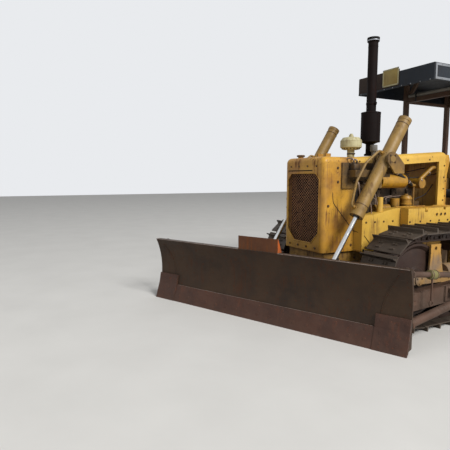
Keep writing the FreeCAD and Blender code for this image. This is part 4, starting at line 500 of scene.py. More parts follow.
# %% Helpers for lines and prisms
def lines(name, runs, radius, slot, finish=None, body="tractor", order=3, sides=6, closed=False):
    """Wires and pipes: each run is a smooth line through the air, given by a few points."""
    curve = bpy.data.curves.new(name, "CURVE")
    curve.dimensions = "3D"
    curve.bevel_depth = radius
    curve.bevel_resolution = max(sides // 2 - 1, 0)
    curve.resolution_u = 6
    curve.use_fill_caps = True
    for run in runs:
        spline = curve.splines.new("NURBS")
        spline.points.add(len(run) - 1)
        for point, at in zip(spline.points, run):
            point.co = (*at, 1.0)
        spline.order_u = min(order, len(run))
        spline.use_endpoint_u = not closed
        spline.use_cyclic_u = closed
    curve.materials.append(FINISH[finish or slot])
    piece = put(name, curve)
    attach(piece, body)
    print(name, len(runs), "lines")
    return piece


def verts_of(grown):
    """The vertices among the things that an operator made."""
    return [item for item in grown["geom"] if isinstance(item, bmesh.types.BMVert)]


def prism(made, outline, run):
    """A closed outline, extruded along a vector."""
    face = made.faces.new([made.verts.new(corner) for corner in outline])
    grown = bmesh.ops.extrude_face_region(made, geom=[face])
    bmesh.ops.translate(made, vec=run, verts=verts_of(grown))


# %% [markdown]
# ## Grille
# The grille is expanded metal: a sheet that was slit and pulled until its slits opened to diamonds, about
# 45 mm wide and 35 mm high. A grid turned by 45 degrees gives the diamonds, planes cut it to the guard's
# eight-sided opening, and the wireframe operator leaves the strands. It replaces the coarser mesh of the
# frame.

# %% Grille
DIAMOND_WIDE, DIAMOND_HIGH, STRAND, CELLS = 0.045, 0.035, 0.0052, 34
CUT_LOW, CUT_HIGH = 0.136, 0.076
low, high = (Vector(corner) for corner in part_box("grille_mesh"))
middle = (low + high) / 2
half_wide, half_high = (high.x - low.x) / 2 - 0.002, (high.z - low.z) / 2 - 0.002
made = bmesh.new()
bmesh.ops.create_grid(made, x_segments=CELLS, y_segments=CELLS, size=CELLS / 2)
turned = Matrix.Rotation(math.radians(45), 4, "Z")
shrink = Matrix.Diagonal((DIAMOND_WIDE / math.sqrt(2), DIAMOND_HIGH / math.sqrt(2), 1.0, 1.0))
upright = Matrix.Rotation(math.radians(90), 4, "X")
bmesh.ops.transform(made, matrix=Matrix.Translation(middle) @ upright @ shrink @ turned, verts=made.verts)
cuts = [((0, half_high), (0, 1)), ((0, -half_high), (0, -1))]
for side, word in SIDES:
    cuts += [
        # a point on the cut and the way out of the opening, both as across and up
        ((side * half_wide, 0), (side, 0)),
        ((side * (half_wide - CUT_HIGH), half_high), (side, 1)),
        ((side * (half_wide - CUT_LOW), -half_high), (side, -1)),
    ]
for (across, up), (out_x, out_z) in cuts:
    bmesh.ops.bisect_plane(made, geom=made.verts[:] + made.edges[:] + made.faces[:], clear_outer=True,
                           plane_co=middle + Vector((across, 0, up)), plane_no=Vector((out_x, 0, out_z)))
bmesh.ops.wireframe(made, faces=made.faces[:], thickness=STRAND, use_replace=True, use_boundary=True,
                    use_even_offset=True)
grille = settle("ExpandedMeshGrille", made, "rusty_mesh")
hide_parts("grille_mesh")

# %% [markdown]
# ## Tracks
# A crawler's track is a chain. Each link is a pair of forged rails joined by a pin in a bushing, and
# carries one rolled shoe with a single grouser, bolted to both rails. The frame has the loop as one band,
# so each side is made here as real shoes, rails, pins and bolts: one of each is drawn around its pin, and
# copies are set along the loop of two straights and two half circles round idler and sprocket.

# %% The pin line of the chain
PITCH, SHOES, TURN_RADIUS = 0.203, 37, 0.440
PLATE_IN, PLATE_OUT, TIP = 0.052, 0.065, 0.117
AXLE_HIGH = TURN_RADIUS + TIP
IDLER_AT = NOSE + 0.728
STRAIGHT = (PITCH * SHOES - 2 * math.pi * TURN_RADIUS) / 2
TRACK_MIDDLE, SHOE_HALF = 0.930, 0.230


def on_chain(distance):
    """Place on the pin line: local Y runs with the chain and local Z points out of the loop."""
    turn = math.pi * TURN_RADIUS
    distance = distance % (2 * STRAIGHT + 2 * turn)
    if distance < STRAIGHT:
        centre, angle, run = IDLER_AT, 0.0, distance
    elif distance < STRAIGHT + turn:
        centre, angle, run = IDLER_AT + STRAIGHT, (distance - STRAIGHT) / TURN_RADIUS, 0.0
    elif distance < 2 * STRAIGHT + turn:
        centre, angle, run = IDLER_AT + STRAIGHT, math.pi, distance - STRAIGHT - turn
    else:
        centre, angle, run = IDLER_AT, math.pi + (distance - 2 * STRAIGHT - turn) / TURN_RADIUS, 0.0
    hub = Matrix.Translation((0.0, centre, AXLE_HIGH)) @ Matrix.Rotation(-angle, 4, "X")
    return hub @ Matrix.Translation((0.0, run, TURN_RADIUS))


def repeated(source, places):
    """A bmesh with one copy of the source at each place."""
    mesh = meshed("Pattern", source)
    result = bmesh.new()
    for place in places:
        start = len(result.verts)
        result.from_mesh(mesh)
        result.verts.ensure_lookup_table()
        bmesh.ops.transform(result, matrix=place, verts=result.verts[start:])
    bpy.data.meshes.remove(mesh)
    return result


LINKS = [on_chain((index + 0.5) * PITCH) for index in range(SHOES)]
print("links on each side", len(LINKS))

# %% Shoes, rails, pins and bolts
SHOE_PROFILE = (
    # along the chain, out from the pin line: lipped plate, grouser, curved trailing edge
    (-0.102, 0.058), (-0.088, PLATE_OUT - 0.001), (0.040, PLATE_OUT), (0.050, 0.074), (0.053, TIP - 0.004),
    (0.057, TIP), (0.064, TIP), (0.067, TIP - 0.004), (0.070, 0.072), (0.078, PLATE_OUT),
    (0.096, PLATE_OUT - 0.002), (0.105, 0.055), (0.100, 0.049), (0.088, PLATE_IN), (-0.090, PLATE_IN),
    (-0.100, 0.046),
)
SHOE_PLAY = 0.001
shoe, rail, pin, heads = bmesh.new(), bmesh.new(), bmesh.new(), bmesh.new()
prism(shoe, [(SHOE_PLAY - SHOE_HALF, along, out) for along, out in SHOE_PROFILE],
      LEFT * 2 * (SHOE_HALF - SHOE_PLAY))
for at, offset in ((-0.095, -0.011), (0.095, 0.011)):
    for half_wide, half_long, low, high, radius in ((0.016, 0.075, 0.006, PLATE_IN, 0.004),
                                                    (0.020, 0.088, -0.047, -0.022, 0.005)):
        slab(rail, (at - half_wide, -half_long, low), (at + half_wide, half_long, high), radius, 1)
    slab(rail, (at - 0.013, -0.030, -0.030), (at + 0.013, 0.030, 0.030))
    for eye, shift in ((-PITCH / 2, offset), (PITCH / 2, -offset)):
        drum(rail, (at + shift - 0.011, eye, 0), LEFT * 0.022, 0.046, segments=16, rim=0.003)
drum(pin, (-0.125, PITCH / 2, 0), LEFT * 0.250, 0.021, segments=14, rim=0.003)
drum(pin, (-0.080, PITCH / 2, 0), LEFT * 0.160, 0.033, segments=16)
bolts(heads, UP, 0.014, *((at, along, PLATE_OUT) for at in (-0.112, -0.078, 0.078, 0.112)
                          for along in (-0.052, 0.012)))
PATTERNS = (("Shoes", shoe, "track_steel"), ("Rails", rail, "dark_steel"), ("Pins", pin, "dark_steel"),
            ("ShoeBolts", heads, "track_steel"))
for side, word in SIDES:
    places = [Matrix.Translation((side * TRACK_MIDDLE, 0, 0)) @ link for link in LINKS]
    for name, pattern, slot in PATTERNS:
        piece = settle(name + word, repeated(pattern.copy(), places), slot)
    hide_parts("track_" + word.lower())
for name, pattern, slot in PATTERNS:
    pattern.free()

# %% [markdown]
# ## Welds
# Plates of such a machine are joined by hand-laid weld: a bead of small overlapping ripples. A curve whose
# points swell and narrow in turn gives the ripples. All beads of one body are drawn as one curve, which is
# then turned into a mesh, because the box of a curve takes its points' radii for metres.


# %% Weld beads
def beads(name, runs, slot, body="tractor", size=0.0055, step=0.008):
    """Weld along each straight run, as a mesh: the bead's width swells and shrinks."""
    curve = bpy.data.curves.new(name, "CURVE")
    curve.dimensions = "3D"
    curve.bevel_depth = size
    curve.bevel_resolution = 1
    curve.use_fill_caps = True
    for start, end in runs:
        start, end = Vector(start), Vector(end)
        count = max(int((end - start).length / step), 2)
        spline = curve.splines.new("POLY")
        spline.points.add(count)
        for index, point in enumerate(spline.points):
            point.co = (*start.lerp(end, index / count), 1.0)
            point.radius = 1.2 if index % 2 else 0.75
    path = put(name + "Path", curve)
    mesh = bpy.data.meshes.new_from_object(path.evaluated_get(bpy.context.evaluated_depsgraph_get()))
    bpy.data.objects.remove(path)
    made = bmesh.new()
    made.from_mesh(mesh)
    bpy.data.meshes.remove(mesh)
    return settle(name, made, slot, body=body)


GUARD_X, FRAME_X, BOX_X = 0.368, 0.500, 0.620
runs = []
for side, word in SIDES:
    x = side * GUARD_X
    runs += [
        ((x, -0.975, 1.520), (x, -0.975, 1.810)),
        ((x, -0.355, 1.530), (x, -0.355, 1.800)),
        ((x, -0.970, 1.811), (x, -0.360, 1.811)),
        ((x + side * 0.001, -0.760, 0.800), (x + side * 0.132, -0.760, 0.800)),
        ((side * FRAME_X, -0.150, 1.080), (side * FRAME_X, -0.150, 1.280)),
        ((side * 0.330, -0.980, 1.070), (side * 0.330, 0.880, 1.070)),
    ]
beads("FrameWelds", runs, "frame_steel")

# %% [markdown]
# ## Bolts on the nose
# The guard is bolted to the frame rails through its sides and carries the grille from behind. Each bolt is
# a hexagon on a washer, the smallest part of the machine that still reads at this distance. A lip runs
# round the grille's opening.

# %% Nose
HALF, LOW, HIGH, LOW_CUT, HIGH_CUT = 0.295, 0.885, 1.695, 0.130, 0.070
octagon = [(HALF, LOW + LOW_CUT), (HALF, HIGH - HIGH_CUT), (HALF - HIGH_CUT, HIGH), (HIGH_CUT - HALF, HIGH),
           (-HALF, HIGH - HIGH_CUT), (-HALF, LOW + LOW_CUT), (LOW_CUT - HALF, LOW), (HALF - LOW_CUT, LOW)]
lines("GrilleLip", [[(x, NOSE - 0.001, z) for x, z in octagon]], 0.006, "yellow_paint", order=2, closed=True)
made = bmesh.new()
for side, word in SIDES:
    out = LEFT * side
    bolts(made, out, 0.013, *((side * GUARD_X, y, z) for y, z in (
        (-1.024, 1.752), (-1.018, 1.595), (-0.800, 1.765), (-0.790, 1.250), (-0.800, 0.860), (-1.153, 1.325),
        (-0.960, 0.840))))
    for z, size in ((0.840, 0.012), (1.130, 0.010)):
        bolts(made, out, size, *((side * FRAME_X, y, z) for y in (-0.700, -0.560, -0.420, -0.270)))
    bolts(made, out, 0.010, *((side * BOX_X, y, 1.120)
                              for y in (-0.120, 0.060, 0.240, 0.400, 0.560, 0.700, 0.840)))
for z, size in ((1.775, 0.010), (0.835, 0.012)):
    bolts(made, -BACK, size, *((x, NOSE, z) for x in (-0.24, -0.08, 0.08, 0.24)))
settle("NoseBolts", made, "frame_steel", "bolt_steel")

# %% [markdown]
# The filler cap has a knurled rim. A thin grease tube lies on the guard's left side and goes through the
# sheet at both of its ends. The shade of a slit above the grille, and of small holes that pierce the guard
# and the side box, is painted: thin black discs and a strip that lie on the sheet.

# %% Cap, tube and vents
CAP_AT, CAP_RADIUS, CAP_HEIGHT = (-0.25, -1.075, 1.900), 0.046, UP * 0.018
made = bmesh.new()
drum(made, CAP_AT, CAP_HEIGHT, CAP_RADIUS, segments=32, rim=0.004)
for at in ring(CAP_AT, CAP_RADIUS, 18, LEFT, BACK):
    drum(made, at, CAP_HEIGHT, 0.0045, segments=8)
settle("FillerCapRim", made, "frame_steel", "bolt_steel")
near, far = GUARD_X + 0.002, FRAME_X + 0.002
lines("GreaseTube", [[(near - 0.006, -1.092, 1.484), (near, -1.092, 1.470), (near, -1.084, 1.370),
                      (near, -1.060, 1.335), (near, -0.900, 1.165), (near, -0.775, 1.034),
                      (near, -0.764, 1.022), (far, -0.752, 1.010), (far, -0.655, 0.909), (far, -0.580, 0.824),
                      (far - 0.006, -0.576, 0.818)]], 0.0035, "black_vinyl")
VENTS, VENT_HIGH = (0.354, 0.431, 0.507), 1.196
# thin black discs and a strip on the sheet: painted shade of the vent holes and of the slit above the grille
made = bmesh.new()
for y in VENTS:
    drum(made, (BOX_X - 0.0005, y, VENT_HIGH), LEFT * 0.002, 0.019, segments=20)
drum(made, (FRAME_X - 0.0005, -0.730, 0.809), LEFT * 0.002, 0.017, segments=20)
slab(made, (-0.295, NOSE - 0.0012, 1.719), (0.170, NOSE + 0.001, 1.731))
settle("OpeningShade", made, "core_black")
lines("VentRims", [ring((BOX_X + 0.001, y, VENT_HIGH), 0.020, 8, BACK, UP) for y in VENTS], 0.003,
      "yellow_paint", closed=True)

# %% [markdown]
# ## Lift cylinders
# A lift cylinder is a thick tube with a bolted gland, from which the chrome rod slides, and a welded cap.
# Eight bolts hold the gland, a black wiper ring cleans the rod, and hexagon fittings take the oil lines.
# All of it is drawn along the cylinder's own axis, so that it swings with the barrel.

# %% Glands, caps and fittings
TRUNNION = Vector((0.600, -0.545, 1.850))
DOWN, AHEAD = Vector((0.0, -0.54186226, -0.84046731)), Vector((0.0, -0.84046731, 0.54186226))
GLAND, CAP = 0.752, 0.548
for side, word in SIDES:
    heart = Vector((side * TRUNNION.x, TRUNNION.y, TRUNNION.z))
    out, barrel = LEFT * side, "barrel_" + word.lower()
    made = bmesh.new()
    bolts(made, DOWN, 0.0085, *ring(heart + DOWN * GLAND, 0.066, 8, out, AHEAD, start=math.pi / 8))
    bolts(made, -DOWN, 0.0085, *ring(heart - DOWN * CAP, 0.050, 6, out, AHEAD))
    for along in (0.610, -0.470):
        drum(made, heart + DOWN * along, DOWN * 0.008, 0.0755, segments=40, rim=0.002)
    settle("CylinderBolts" + word, made, "yellow_paint", "bolt_steel", barrel)
    made = bmesh.new()
    drum(made, heart + DOWN * GLAND, DOWN * 0.012, 0.042, 0.036, segments=32)
    settle("RodWiper" + word, made, "black_vinyl", body=barrel)
    made = bmesh.new()
    for along, high in ((0.680, 0.042), (-0.030, 0.038)):
        foot = heart + DOWN * along + AHEAD * 0.070
        drum(made, foot, AHEAD * high, 0.021, segments=6, rim=0.002)
        drum(made, foot, AHEAD * 0.012, 0.028, segments=20, rim=0.002)
    settle("LineFittings" + word, made, "grey_fittings", body=barrel)
    made = bmesh.new()
    bolts(made, out, 0.010, *ring((side * 0.712, heart.y, heart.z), 0.052, 4, BACK, UP, start=math.pi / 4))
    settle("TrunnionBolts" + word, made, "yellow_paint", "bolt_steel")

# %% [markdown]
# ## Engine
# Under the open hood stands a four-cylinder oil engine. Its fuel pipes run from the pump to the head in
# thin bent steel, the covers are held by nuts, and cables hang from the cowl. Thin curves and rows of nuts
# over the frame's blocks and drums make it an engine.

# %% Engine trim
CYLINDERS, BORE_STEP = 4, 0.270
made = bmesh.new()
for side, word in SIDES:
    out = LEFT * side
    nuts = [-0.545 + index * 0.158 for index in range(7)]
    bolts(made, UP, 0.010, *((side * 0.098, y, 1.700) for y in nuts))
    bolts(made, UP, 0.013, *((side * 0.136, y, 1.560) for y in nuts))
    bolts(made, out, 0.011, *((side * 0.215, y, 1.295) for y in nuts))
    for index in range(CYLINDERS):
        y = -0.440 + index * BORE_STEP
        slab(made, (side * 0.148, y - 0.045, 1.400), (side * 0.176, y + 0.045, 1.500), 0.010)
        if side > 0:
            bolts(made, out, 0.009, (0.176, y - 0.030, 1.450), (0.176, y + 0.030, 1.450))
slab(made, (-0.252, -0.500, 1.405), (-0.176, 0.420, 1.495), 0.030, 3)
settle("EngineTrim", made, "grey_fittings", "oily_casting")
fuel = []
for index in range(CYLINDERS):
    y, pump_y = -0.470 + index * BORE_STEP, -0.320 + index * 0.060
    fuel.append([(0.268, pump_y, 1.300), (0.268, pump_y, 1.360), (0.250, pump_y, 1.400), (0.200, y, 1.420),
                 (0.145, y, 1.420)])
lines("FuelPipes", fuel, 0.0045, "grey_fittings", "bare_pipe")
lines("EngineCables", [
    [(0.250, 0.825, 1.700), (0.245, 0.700, 1.680), (0.235, 0.500, 1.650), (0.200, 0.300, 1.640),
     (0.150, 0.200, 1.640), (0.104, 0.180, 1.640)],
    [(0.180, 0.825, 1.560), (0.200, 0.740, 1.480), (0.190, 0.640, 1.400), (0.160, 0.480, 1.360),
     (0.160, 0.440, 1.330)],
    [(0.050, 0.825, 1.780), (0.060, 0.600, 1.740), (0.040, 0.420, 1.720), (0.020, 0.330, 1.690)],
    [(-0.200, 0.825, 1.650), (-0.240, 0.600, 1.580), (-0.260, 0.300, 1.540), (-0.240, 0.120, 1.510)],
], 0.006, "black_vinyl")

# %% [markdown]
# ## Exhaust
# The muffler is rolled sheet with folded rims at its ends and a seam down its side. A clamp holds the
# stack.

# %% Muffler rims and clamp
MUFFLER_AT = (0.0, -0.175)
made = bmesh.new()
for z, high, radius, segments, rim in (
    # two folded rims, the clamp, and the stack's upper joint
    (2.092, 0.020, 0.1225, 48, 0.006), (2.448, 0.020, 0.1225, 48, 0.006), (2.560, 0.030, 0.064, 40, 0.003),
    (3.270, 0.006, 0.0625, 40, 0.002),
):
    drum(made, (*MUFFLER_AT, z), UP * high, radius, segments=segments, rim=rim)
slab(made, (0.116, -0.181, 2.112), (0.1225, -0.169, 2.448), 0.002)
slab(made, (0.058, -0.187, 2.560), (0.084, -0.163, 2.590), 0.003)
bolts(made, -BACK, 0.008, (0.074, -0.187, 2.575))
settle("MufflerRims", made, "exhaust_brown")

# %% [markdown]
# ## Pipes and fittings beside the engine
# The air line comes from the cleaner in a rubber sleeve and goes on in bare steel, and clamps hold its
# ends. Unions, a valve block and bent steel tubes sit between the nose and each lift cylinder. They are
# hexagons, short drums and thin curves, in oily brown, because grease and dust cover that corner. The
# lift brackets' paint there also carries the painted shade of that corner.

# %% Sleeves and clamps
lines("AirSleeve", [[(0.290, -0.186, 1.714), (0.315, -0.160, 1.758), (0.318, -0.140, 1.762),
                     (0.318, 0.060, 1.656), (0.317, 0.230, 1.565), (0.312, 0.262, 1.551)]],
      0.0235, "grey_fittings", "rubber", sides=14)
made = bmesh.new()
for start, run, radius in (
    # where a clamp starts, its run along the pipe, its radius
    ((0.318, -0.030, 1.7035), (0, 0.014, -0.0073), 0.026),
    ((0.318, 0.180, 1.5924), (0, 0.014, -0.0074), 0.026),
    ((0.305, 0.420, 1.6080), (0, 0.012, 0.0083), 0.028),
    ((0.305, 0.560, 1.7040), (0, 0.012, 0.0083), 0.028),
):
    drum(made, start, run, radius, segments=24, rim=0.002)
settle("PipeClamps", made, "grey_fittings", "bare_pipe")

# %% Fittings at the brackets
BLOCK_X, BLOCK_FOOT, BLOCK_TOP = 0.440, 1.729, 1.800
TUBES = (
    # down from the three unions
    ((0.424, -0.800, 1.600), (0.452, -0.800, 1.598), (0.470, -0.800, 1.570), (0.470, -0.770, 1.420),
     (0.462, -0.700, 1.300), (0.450, -0.690, 1.200)),
    ((0.424, -0.690, 1.585), (0.450, -0.690, 1.583), (0.462, -0.690, 1.555), (0.462, -0.640, 1.400),
     (0.440, -0.560, 1.300), (0.420, -0.540, 1.200)),
    ((0.424, -0.590, 1.600), (0.446, -0.590, 1.598), (0.456, -0.580, 1.570), (0.456, -0.520, 1.420),
     (0.430, -0.450, 1.300), (0.420, -0.430, 1.200)),
    # from the valve block into the nose
    ((0.440, -0.860, 1.830), (0.440, -0.862, 1.850), (0.4224, -0.870, 1.862), (0.390, -0.880, 1.862),
     (0.362, -0.882, 1.860)),
    ((0.440, -0.810, 1.830), (0.440, -0.812, 1.842), (0.4224, -0.820, 1.850), (0.390, -0.826, 1.850),
     (0.362, -0.828, 1.848)),
)
for side, word in SIDES:
    x, out = side * BLOCK_X, LEFT * side
    made = bmesh.new()
    slab(made, (x - 0.035, -0.880, BLOCK_FOOT), (x + 0.035, -0.790, BLOCK_TOP), 0.006)
    for y in (-0.860, -0.810):
        drum(made, (x, y, BLOCK_TOP - 0.002), UP * 0.024, 0.017, segments=6, rim=0.002)
        drum(made, (x, y, BLOCK_TOP + 0.020), UP * 0.016, 0.011, segments=16)
    for y, z in ((-0.800, 1.600), (-0.690, 1.585), (-0.590, 1.600)):
        drum(made, (side * 0.386, y, z), out * 0.026, 0.022, segments=6, rim=0.002)
        drum(made, (side * 0.410, y, z), out * 0.018, 0.015, segments=16)
    drum(made, (x, -0.700, BLOCK_FOOT), UP * 0.013, 0.034, segments=24, rim=0.003)
    settle("ValveBlock" + word, made, "grey_fittings", "oily_casting")
    lines("SteelTubes" + word, [[(side * x, y, z) for x, y, z in tube] for tube in TUBES], 0.0085,
          "grey_fittings", "bare_pipe", sides=8)

# %% [markdown]
# ## Canopy trim
# The canopy's roof is folded sheet, stiffened by ribs. A dull board covers the left half of its front, and
# a blank plate hangs on the board. A curtain is rolled up over the front beam, tied with two straps.

# %% Roof ribs, board and sign plate
ROOF_FRONT, ROOF_REAR, ROOF_TOP, ROOF_SIDE = 0.195, 2.025, 3.000, 0.610
made = bmesh.new()
for x in (-0.48, -0.24, 0.0, 0.24, 0.48):
    slab(made, (x - 0.022, ROOF_FRONT + 0.030, ROOF_TOP - 0.003),
         (x + 0.022, ROOF_REAR - 0.030, ROOF_TOP + 0.008), 0.0055)
slab(made, (-ROOF_SIDE, ROOF_REAR - 0.002, 2.802), (ROOF_SIDE, ROOF_REAR + 0.003, 2.822), 0.002)
slab(made, (-ROOF_SIDE, ROOF_FRONT - 0.004, 2.800), (ROOF_SIDE, ROOF_FRONT + 0.002, 2.818), 0.002)
settle("RoofRibs", made, "canopy_blue")
SIGN_FRONT = ROOF_FRONT - 0.0105
SIGN_LEFT, SIGN_RIGHT, SIGN_LOW, SIGN_HIGH, BAR = 0.093, -0.168, 2.835, 3.055, 0.016
for name, low, high, radius, slot, finish in (
    ("FrontBoard", (-0.606, ROOF_FRONT - 0.004, 2.820), (0.102, ROOF_FRONT + 0.001, 3.030), 0.002,
     "canopy_blue", "dull_board"),
    ("BlankSign", (SIGN_RIGHT + 0.003, SIGN_FRONT + 0.003, SIGN_LOW + 0.003),
     (SIGN_LEFT - 0.003, SIGN_FRONT + 0.007, SIGN_HIGH - 0.003), 0.0015, "bright_trim", "blank_plate"),
):
    made = bmesh.new()
    slab(made, low, high, radius)
    settle(name, made, slot, finish)
made = bmesh.new()
for right, low, left, high in ((SIGN_RIGHT, SIGN_LOW, SIGN_RIGHT + BAR, SIGN_HIGH),
                               (SIGN_LEFT - BAR, SIGN_LOW, SIGN_LEFT, SIGN_HIGH),
                               (SIGN_RIGHT, SIGN_LOW, SIGN_LEFT, SIGN_LOW + BAR),
                               (SIGN_RIGHT, SIGN_HIGH - BAR, SIGN_LEFT, SIGN_HIGH)):
    slab(made, (right, SIGN_FRONT, low), (left, SIGN_FRONT + 0.0035, high), 0.0012)
settle("SignFrame", made, "bright_trim", "pale_paint")

# %% Canopy bolts and the rolled curtain
made = bmesh.new()
half = BAR / 2
bolts(made, -BACK, 0.005, *((x, SIGN_FRONT, z) for x in (SIGN_RIGHT + half, SIGN_LEFT - half)
                            for z in (SIGN_LOW + half, SIGN_HIGH - half)))
across = [-0.56 + index * 0.14 for index in range(9)]
bolts(made, -BACK, 0.006, *((x, ROOF_FRONT - 0.0035, 2.809) for x in across))
bolts(made, BACK, 0.006, *((x, ROOF_REAR + 0.0025, 2.812) for x in across))
for side, word in SIDES:
    bolts(made, LEFT * side, 0.006, *((side * (ROOF_SIDE + 0.0055), 0.330 + index * 0.260, z)
                                      for index in range(7) for z in (2.821, 2.979)))
settle("CanopyBolts", made, "bright_trim")
ROLL_Y, ROLL_Z = 1.005, 2.830
made = bmesh.new()
for half, radius, segments, rim in ((0.420, 0.031, 32, 0.006), (0.424, 0.020, 24, 0), (0.436, 0.008, 24, 0)):
    drum(made, (-half, ROLL_Y, ROLL_Z), LEFT * 2 * half, radius, segments=segments, rim=rim)
settle("CurtainRoll", made, "bright_trim", "canvas")
made = bmesh.new()
for x in (-0.28, 0.28):
    drum(made, (x - 0.012, ROLL_Y, ROLL_Z), LEFT * 0.024, 0.0335, segments=32)
    slab(made, (x - 0.012, ROLL_Y - 0.0335, 2.738), (x + 0.012, ROLL_Y - 0.0305, ROLL_Z))
settle("CurtainStraps", made, "black_vinyl")

# %% [markdown]
# ## Precleaner, breather and stack end
# The precleaner spins dust out of the air through small louvres under its bowl. Beside the exhaust's foot
# stands a pale breather cap. The stack ends in a dark rim over a paler band of bare metal, a painted
# highlight under the rim.

# %% Small things on the hood
CLEANER, BREATHER = (0.0, -0.495), (0.120, -0.228)
made = bmesh.new()
drum(made, (*CLEANER, 2.172), UP * 0.016, 0.017, segments=6, rim=0.002)
for z in (2.036, 2.094):
    drum(made, (*CLEANER, z), UP * 0.006, 0.1315, segments=48, rim=0.002)
settle("PrecleanerBands", made, "pale_paint")
made = bmesh.new()
heart = Vector((*CLEANER, 2.004))
for at in ring(heart, 0.1080, 16, LEFT, BACK):
    out = (at - heart).normalized()
    drum(made, at - out * 0.004, out * 0.0075 - UP * 0.002, 0.0075, segments=8)
settle("Louvres", made, "core_black")
made = bmesh.new()
drum(made, (*CLEANER, 1.930), UP * 0.018, 0.0475, segments=32, rim=0.003)
slab(made, (0.044, -0.507, 1.931), (0.066, -0.483, 1.947), 0.002)
settle("NeckClamp", made, "dark_steel")
made = bmesh.new()
drum(made, (*BREATHER, 1.915), UP * 0.060, 0.028, segments=24)
drum(made, (*BREATHER, 1.970), UP * 0.082, 0.046, 0.043, segments=32, rim=0.006)
settle("BreatherCap", made, "pale_paint", "canvas")
# a pale metal band under the rim: painted highlight
made = bmesh.new()
drum(made, (*MUFFLER_AT, 3.338), UP * 0.012, 0.0752, segments=40, rim=0.002)
settle("StackHighlightBand", made, "bright_trim")

# %% [markdown]
# The rim is turned sheet: a circle at the stack's mouth, extruded outwards to a flat ring and then down to
# a skirt, with the sheet's thickness added at the end.

# %% Rim of the stack
MOUTH, RIM, SKIRT = 0.066, 0.0756, 0.026
made = bmesh.new()
bmesh.ops.create_circle(made, cap_ends=False, segments=40, radius=MOUTH,
                        matrix=Matrix.Translation((*MUFFLER_AT, 3.3795)))
outer = verts_of(bmesh.ops.extrude_edge_only(made, edges=made.edges[:]))
bmesh.ops.scale(made, vec=(RIM / MOUTH, RIM / MOUTH, 1.0), verts=outer,
                space=Matrix.Translation((-MUFFLER_AT[0], -MUFFLER_AT[1], 0.0)))
brink = [edge for edge in made.edges if edge.is_boundary and all(vert in outer for vert in edge.verts)]
bmesh.ops.translate(made, vec=-UP * SKIRT, verts=verts_of(bmesh.ops.extrude_edge_only(made, edges=brink)))
bmesh.ops.solidify(made, geom=made.faces[:], thickness=-0.0006)
settle("StackRim", made, "core_black")

# %% [markdown]
# ## Hood and boxes
# The hood's side rails are screwed to the posts, the boxes beside the engine have lids with a hinge rod and
# a latch, and the cowl is bolted behind.

# %% Hood and boxes
made = bmesh.new()
for side, word in SIDES:
    bolts(made, LEFT * side, 0.009,
          *((side * GUARD_X, y, 1.830 + 0.055 * (y + 0.7) / 1.5) for y in (-0.700, -0.300, 0.100, 0.500)),
          *((side * GUARD_X, 0.790, z) for z in (1.350, 1.500, 1.650, 1.800)),
          *((side * 0.335, 0.865, z) for z in (1.200, 1.400, 1.600)))
settle("HoodScrews", made, "yellow_paint", "bolt_steel")
made = bmesh.new()
for side, word in SIDES:
    for start, end in ((-0.130, 0.455), (0.535, 0.860)):
        middle = (start + end) / 2
        drum(made, (side * 0.386, start + 0.030, 1.284), BACK * (end - start - 0.060), 0.006, segments=12)
        slab(made, (side * 0.380, start, 1.2795), (side * 0.624, end, 1.2835), 0.001)
        slab(made, (side * 0.6195, middle - 0.022, 1.235), (side * 0.628, middle + 0.022, 1.283), 0.003)
        drum(made, (side * 0.627, middle, 1.252), LEFT * side * 0.010, 0.009, segments=12, rim=0.002)
settle("BoxLids", made, "yellow_paint")

# %% [markdown]
# ## Driver's place
# Gauges in the cowl, boots and rubber grips on the levers, ribs on the pedals and raised bars on the floor
# plates are all small and repeated, so a few loops draw them.

# %% Gauges
PANEL_OUT, PANEL_UP = Vector((0.0, 0.967, -0.2546)), Vector((0.0, 0.2546, 0.967))
made, dials, needles = bmesh.new(), bmesh.new(), bmesh.new()
for index, (across, radius) in enumerate(((-0.200, 0.040), (-0.075, 0.052), (0.075, 0.052), (0.200, 0.040))):
    heart = Vector((across, 0.920, 1.781))
    drum(made, heart - PANEL_OUT * 0.002, PANEL_OUT * 0.014, radius, segments=40, rim=0.004)
    drum(dials, heart + PANEL_OUT * 0.011, PANEL_OUT * 0.0015, radius - 0.007, segments=32)
    angle = 0.6 + index * 0.9
    points_to = LEFT * math.cos(angle) + PANEL_UP * math.sin(angle)
    drum(needles, heart + PANEL_OUT * 0.0135, points_to * radius * 0.6, 0.0016, 0.0008, segments=6)
    drum(needles, heart + PANEL_OUT * 0.012, PANEL_OUT * 0.004, 0.005, segments=12)
settle("GaugeBezels", made, "bright_trim")
settle("GaugeDials", dials, "bright_trim", "blank_plate")
settle("GaugeNeedles", needles, "core_black")

# %% Levers and pedals
LEVER_Y, FLOOR = 1.245, 1.095
made = bmesh.new()
for x in (-0.200, -0.070, 0.070, 0.200):
    drum(made, (x, LEVER_Y, 1.150), UP * 0.085, 0.046, 0.015, segments=24)
    for step in range(3):
        drum(made, (x, LEVER_Y, 1.161 + step * 0.022), UP * 0.008, 0.045 - step * 0.008, segments=24,
             rim=0.002)
    drum(made, (x, LEVER_Y, 1.764), UP * 0.096, 0.0208, segments=20, rim=0.006)
for side, word in SIDES:
    for step in range(5):
        part = 0.14 + step * 0.18
        foot = (side * 0.294, 1.187 - 0.080 * part, FLOOR + 0.190 * part)
        drum(made, foot, LEFT * side * 0.072, 0.006, segments=10)
settle("Rubbers", made, "black_vinyl", "rubber")

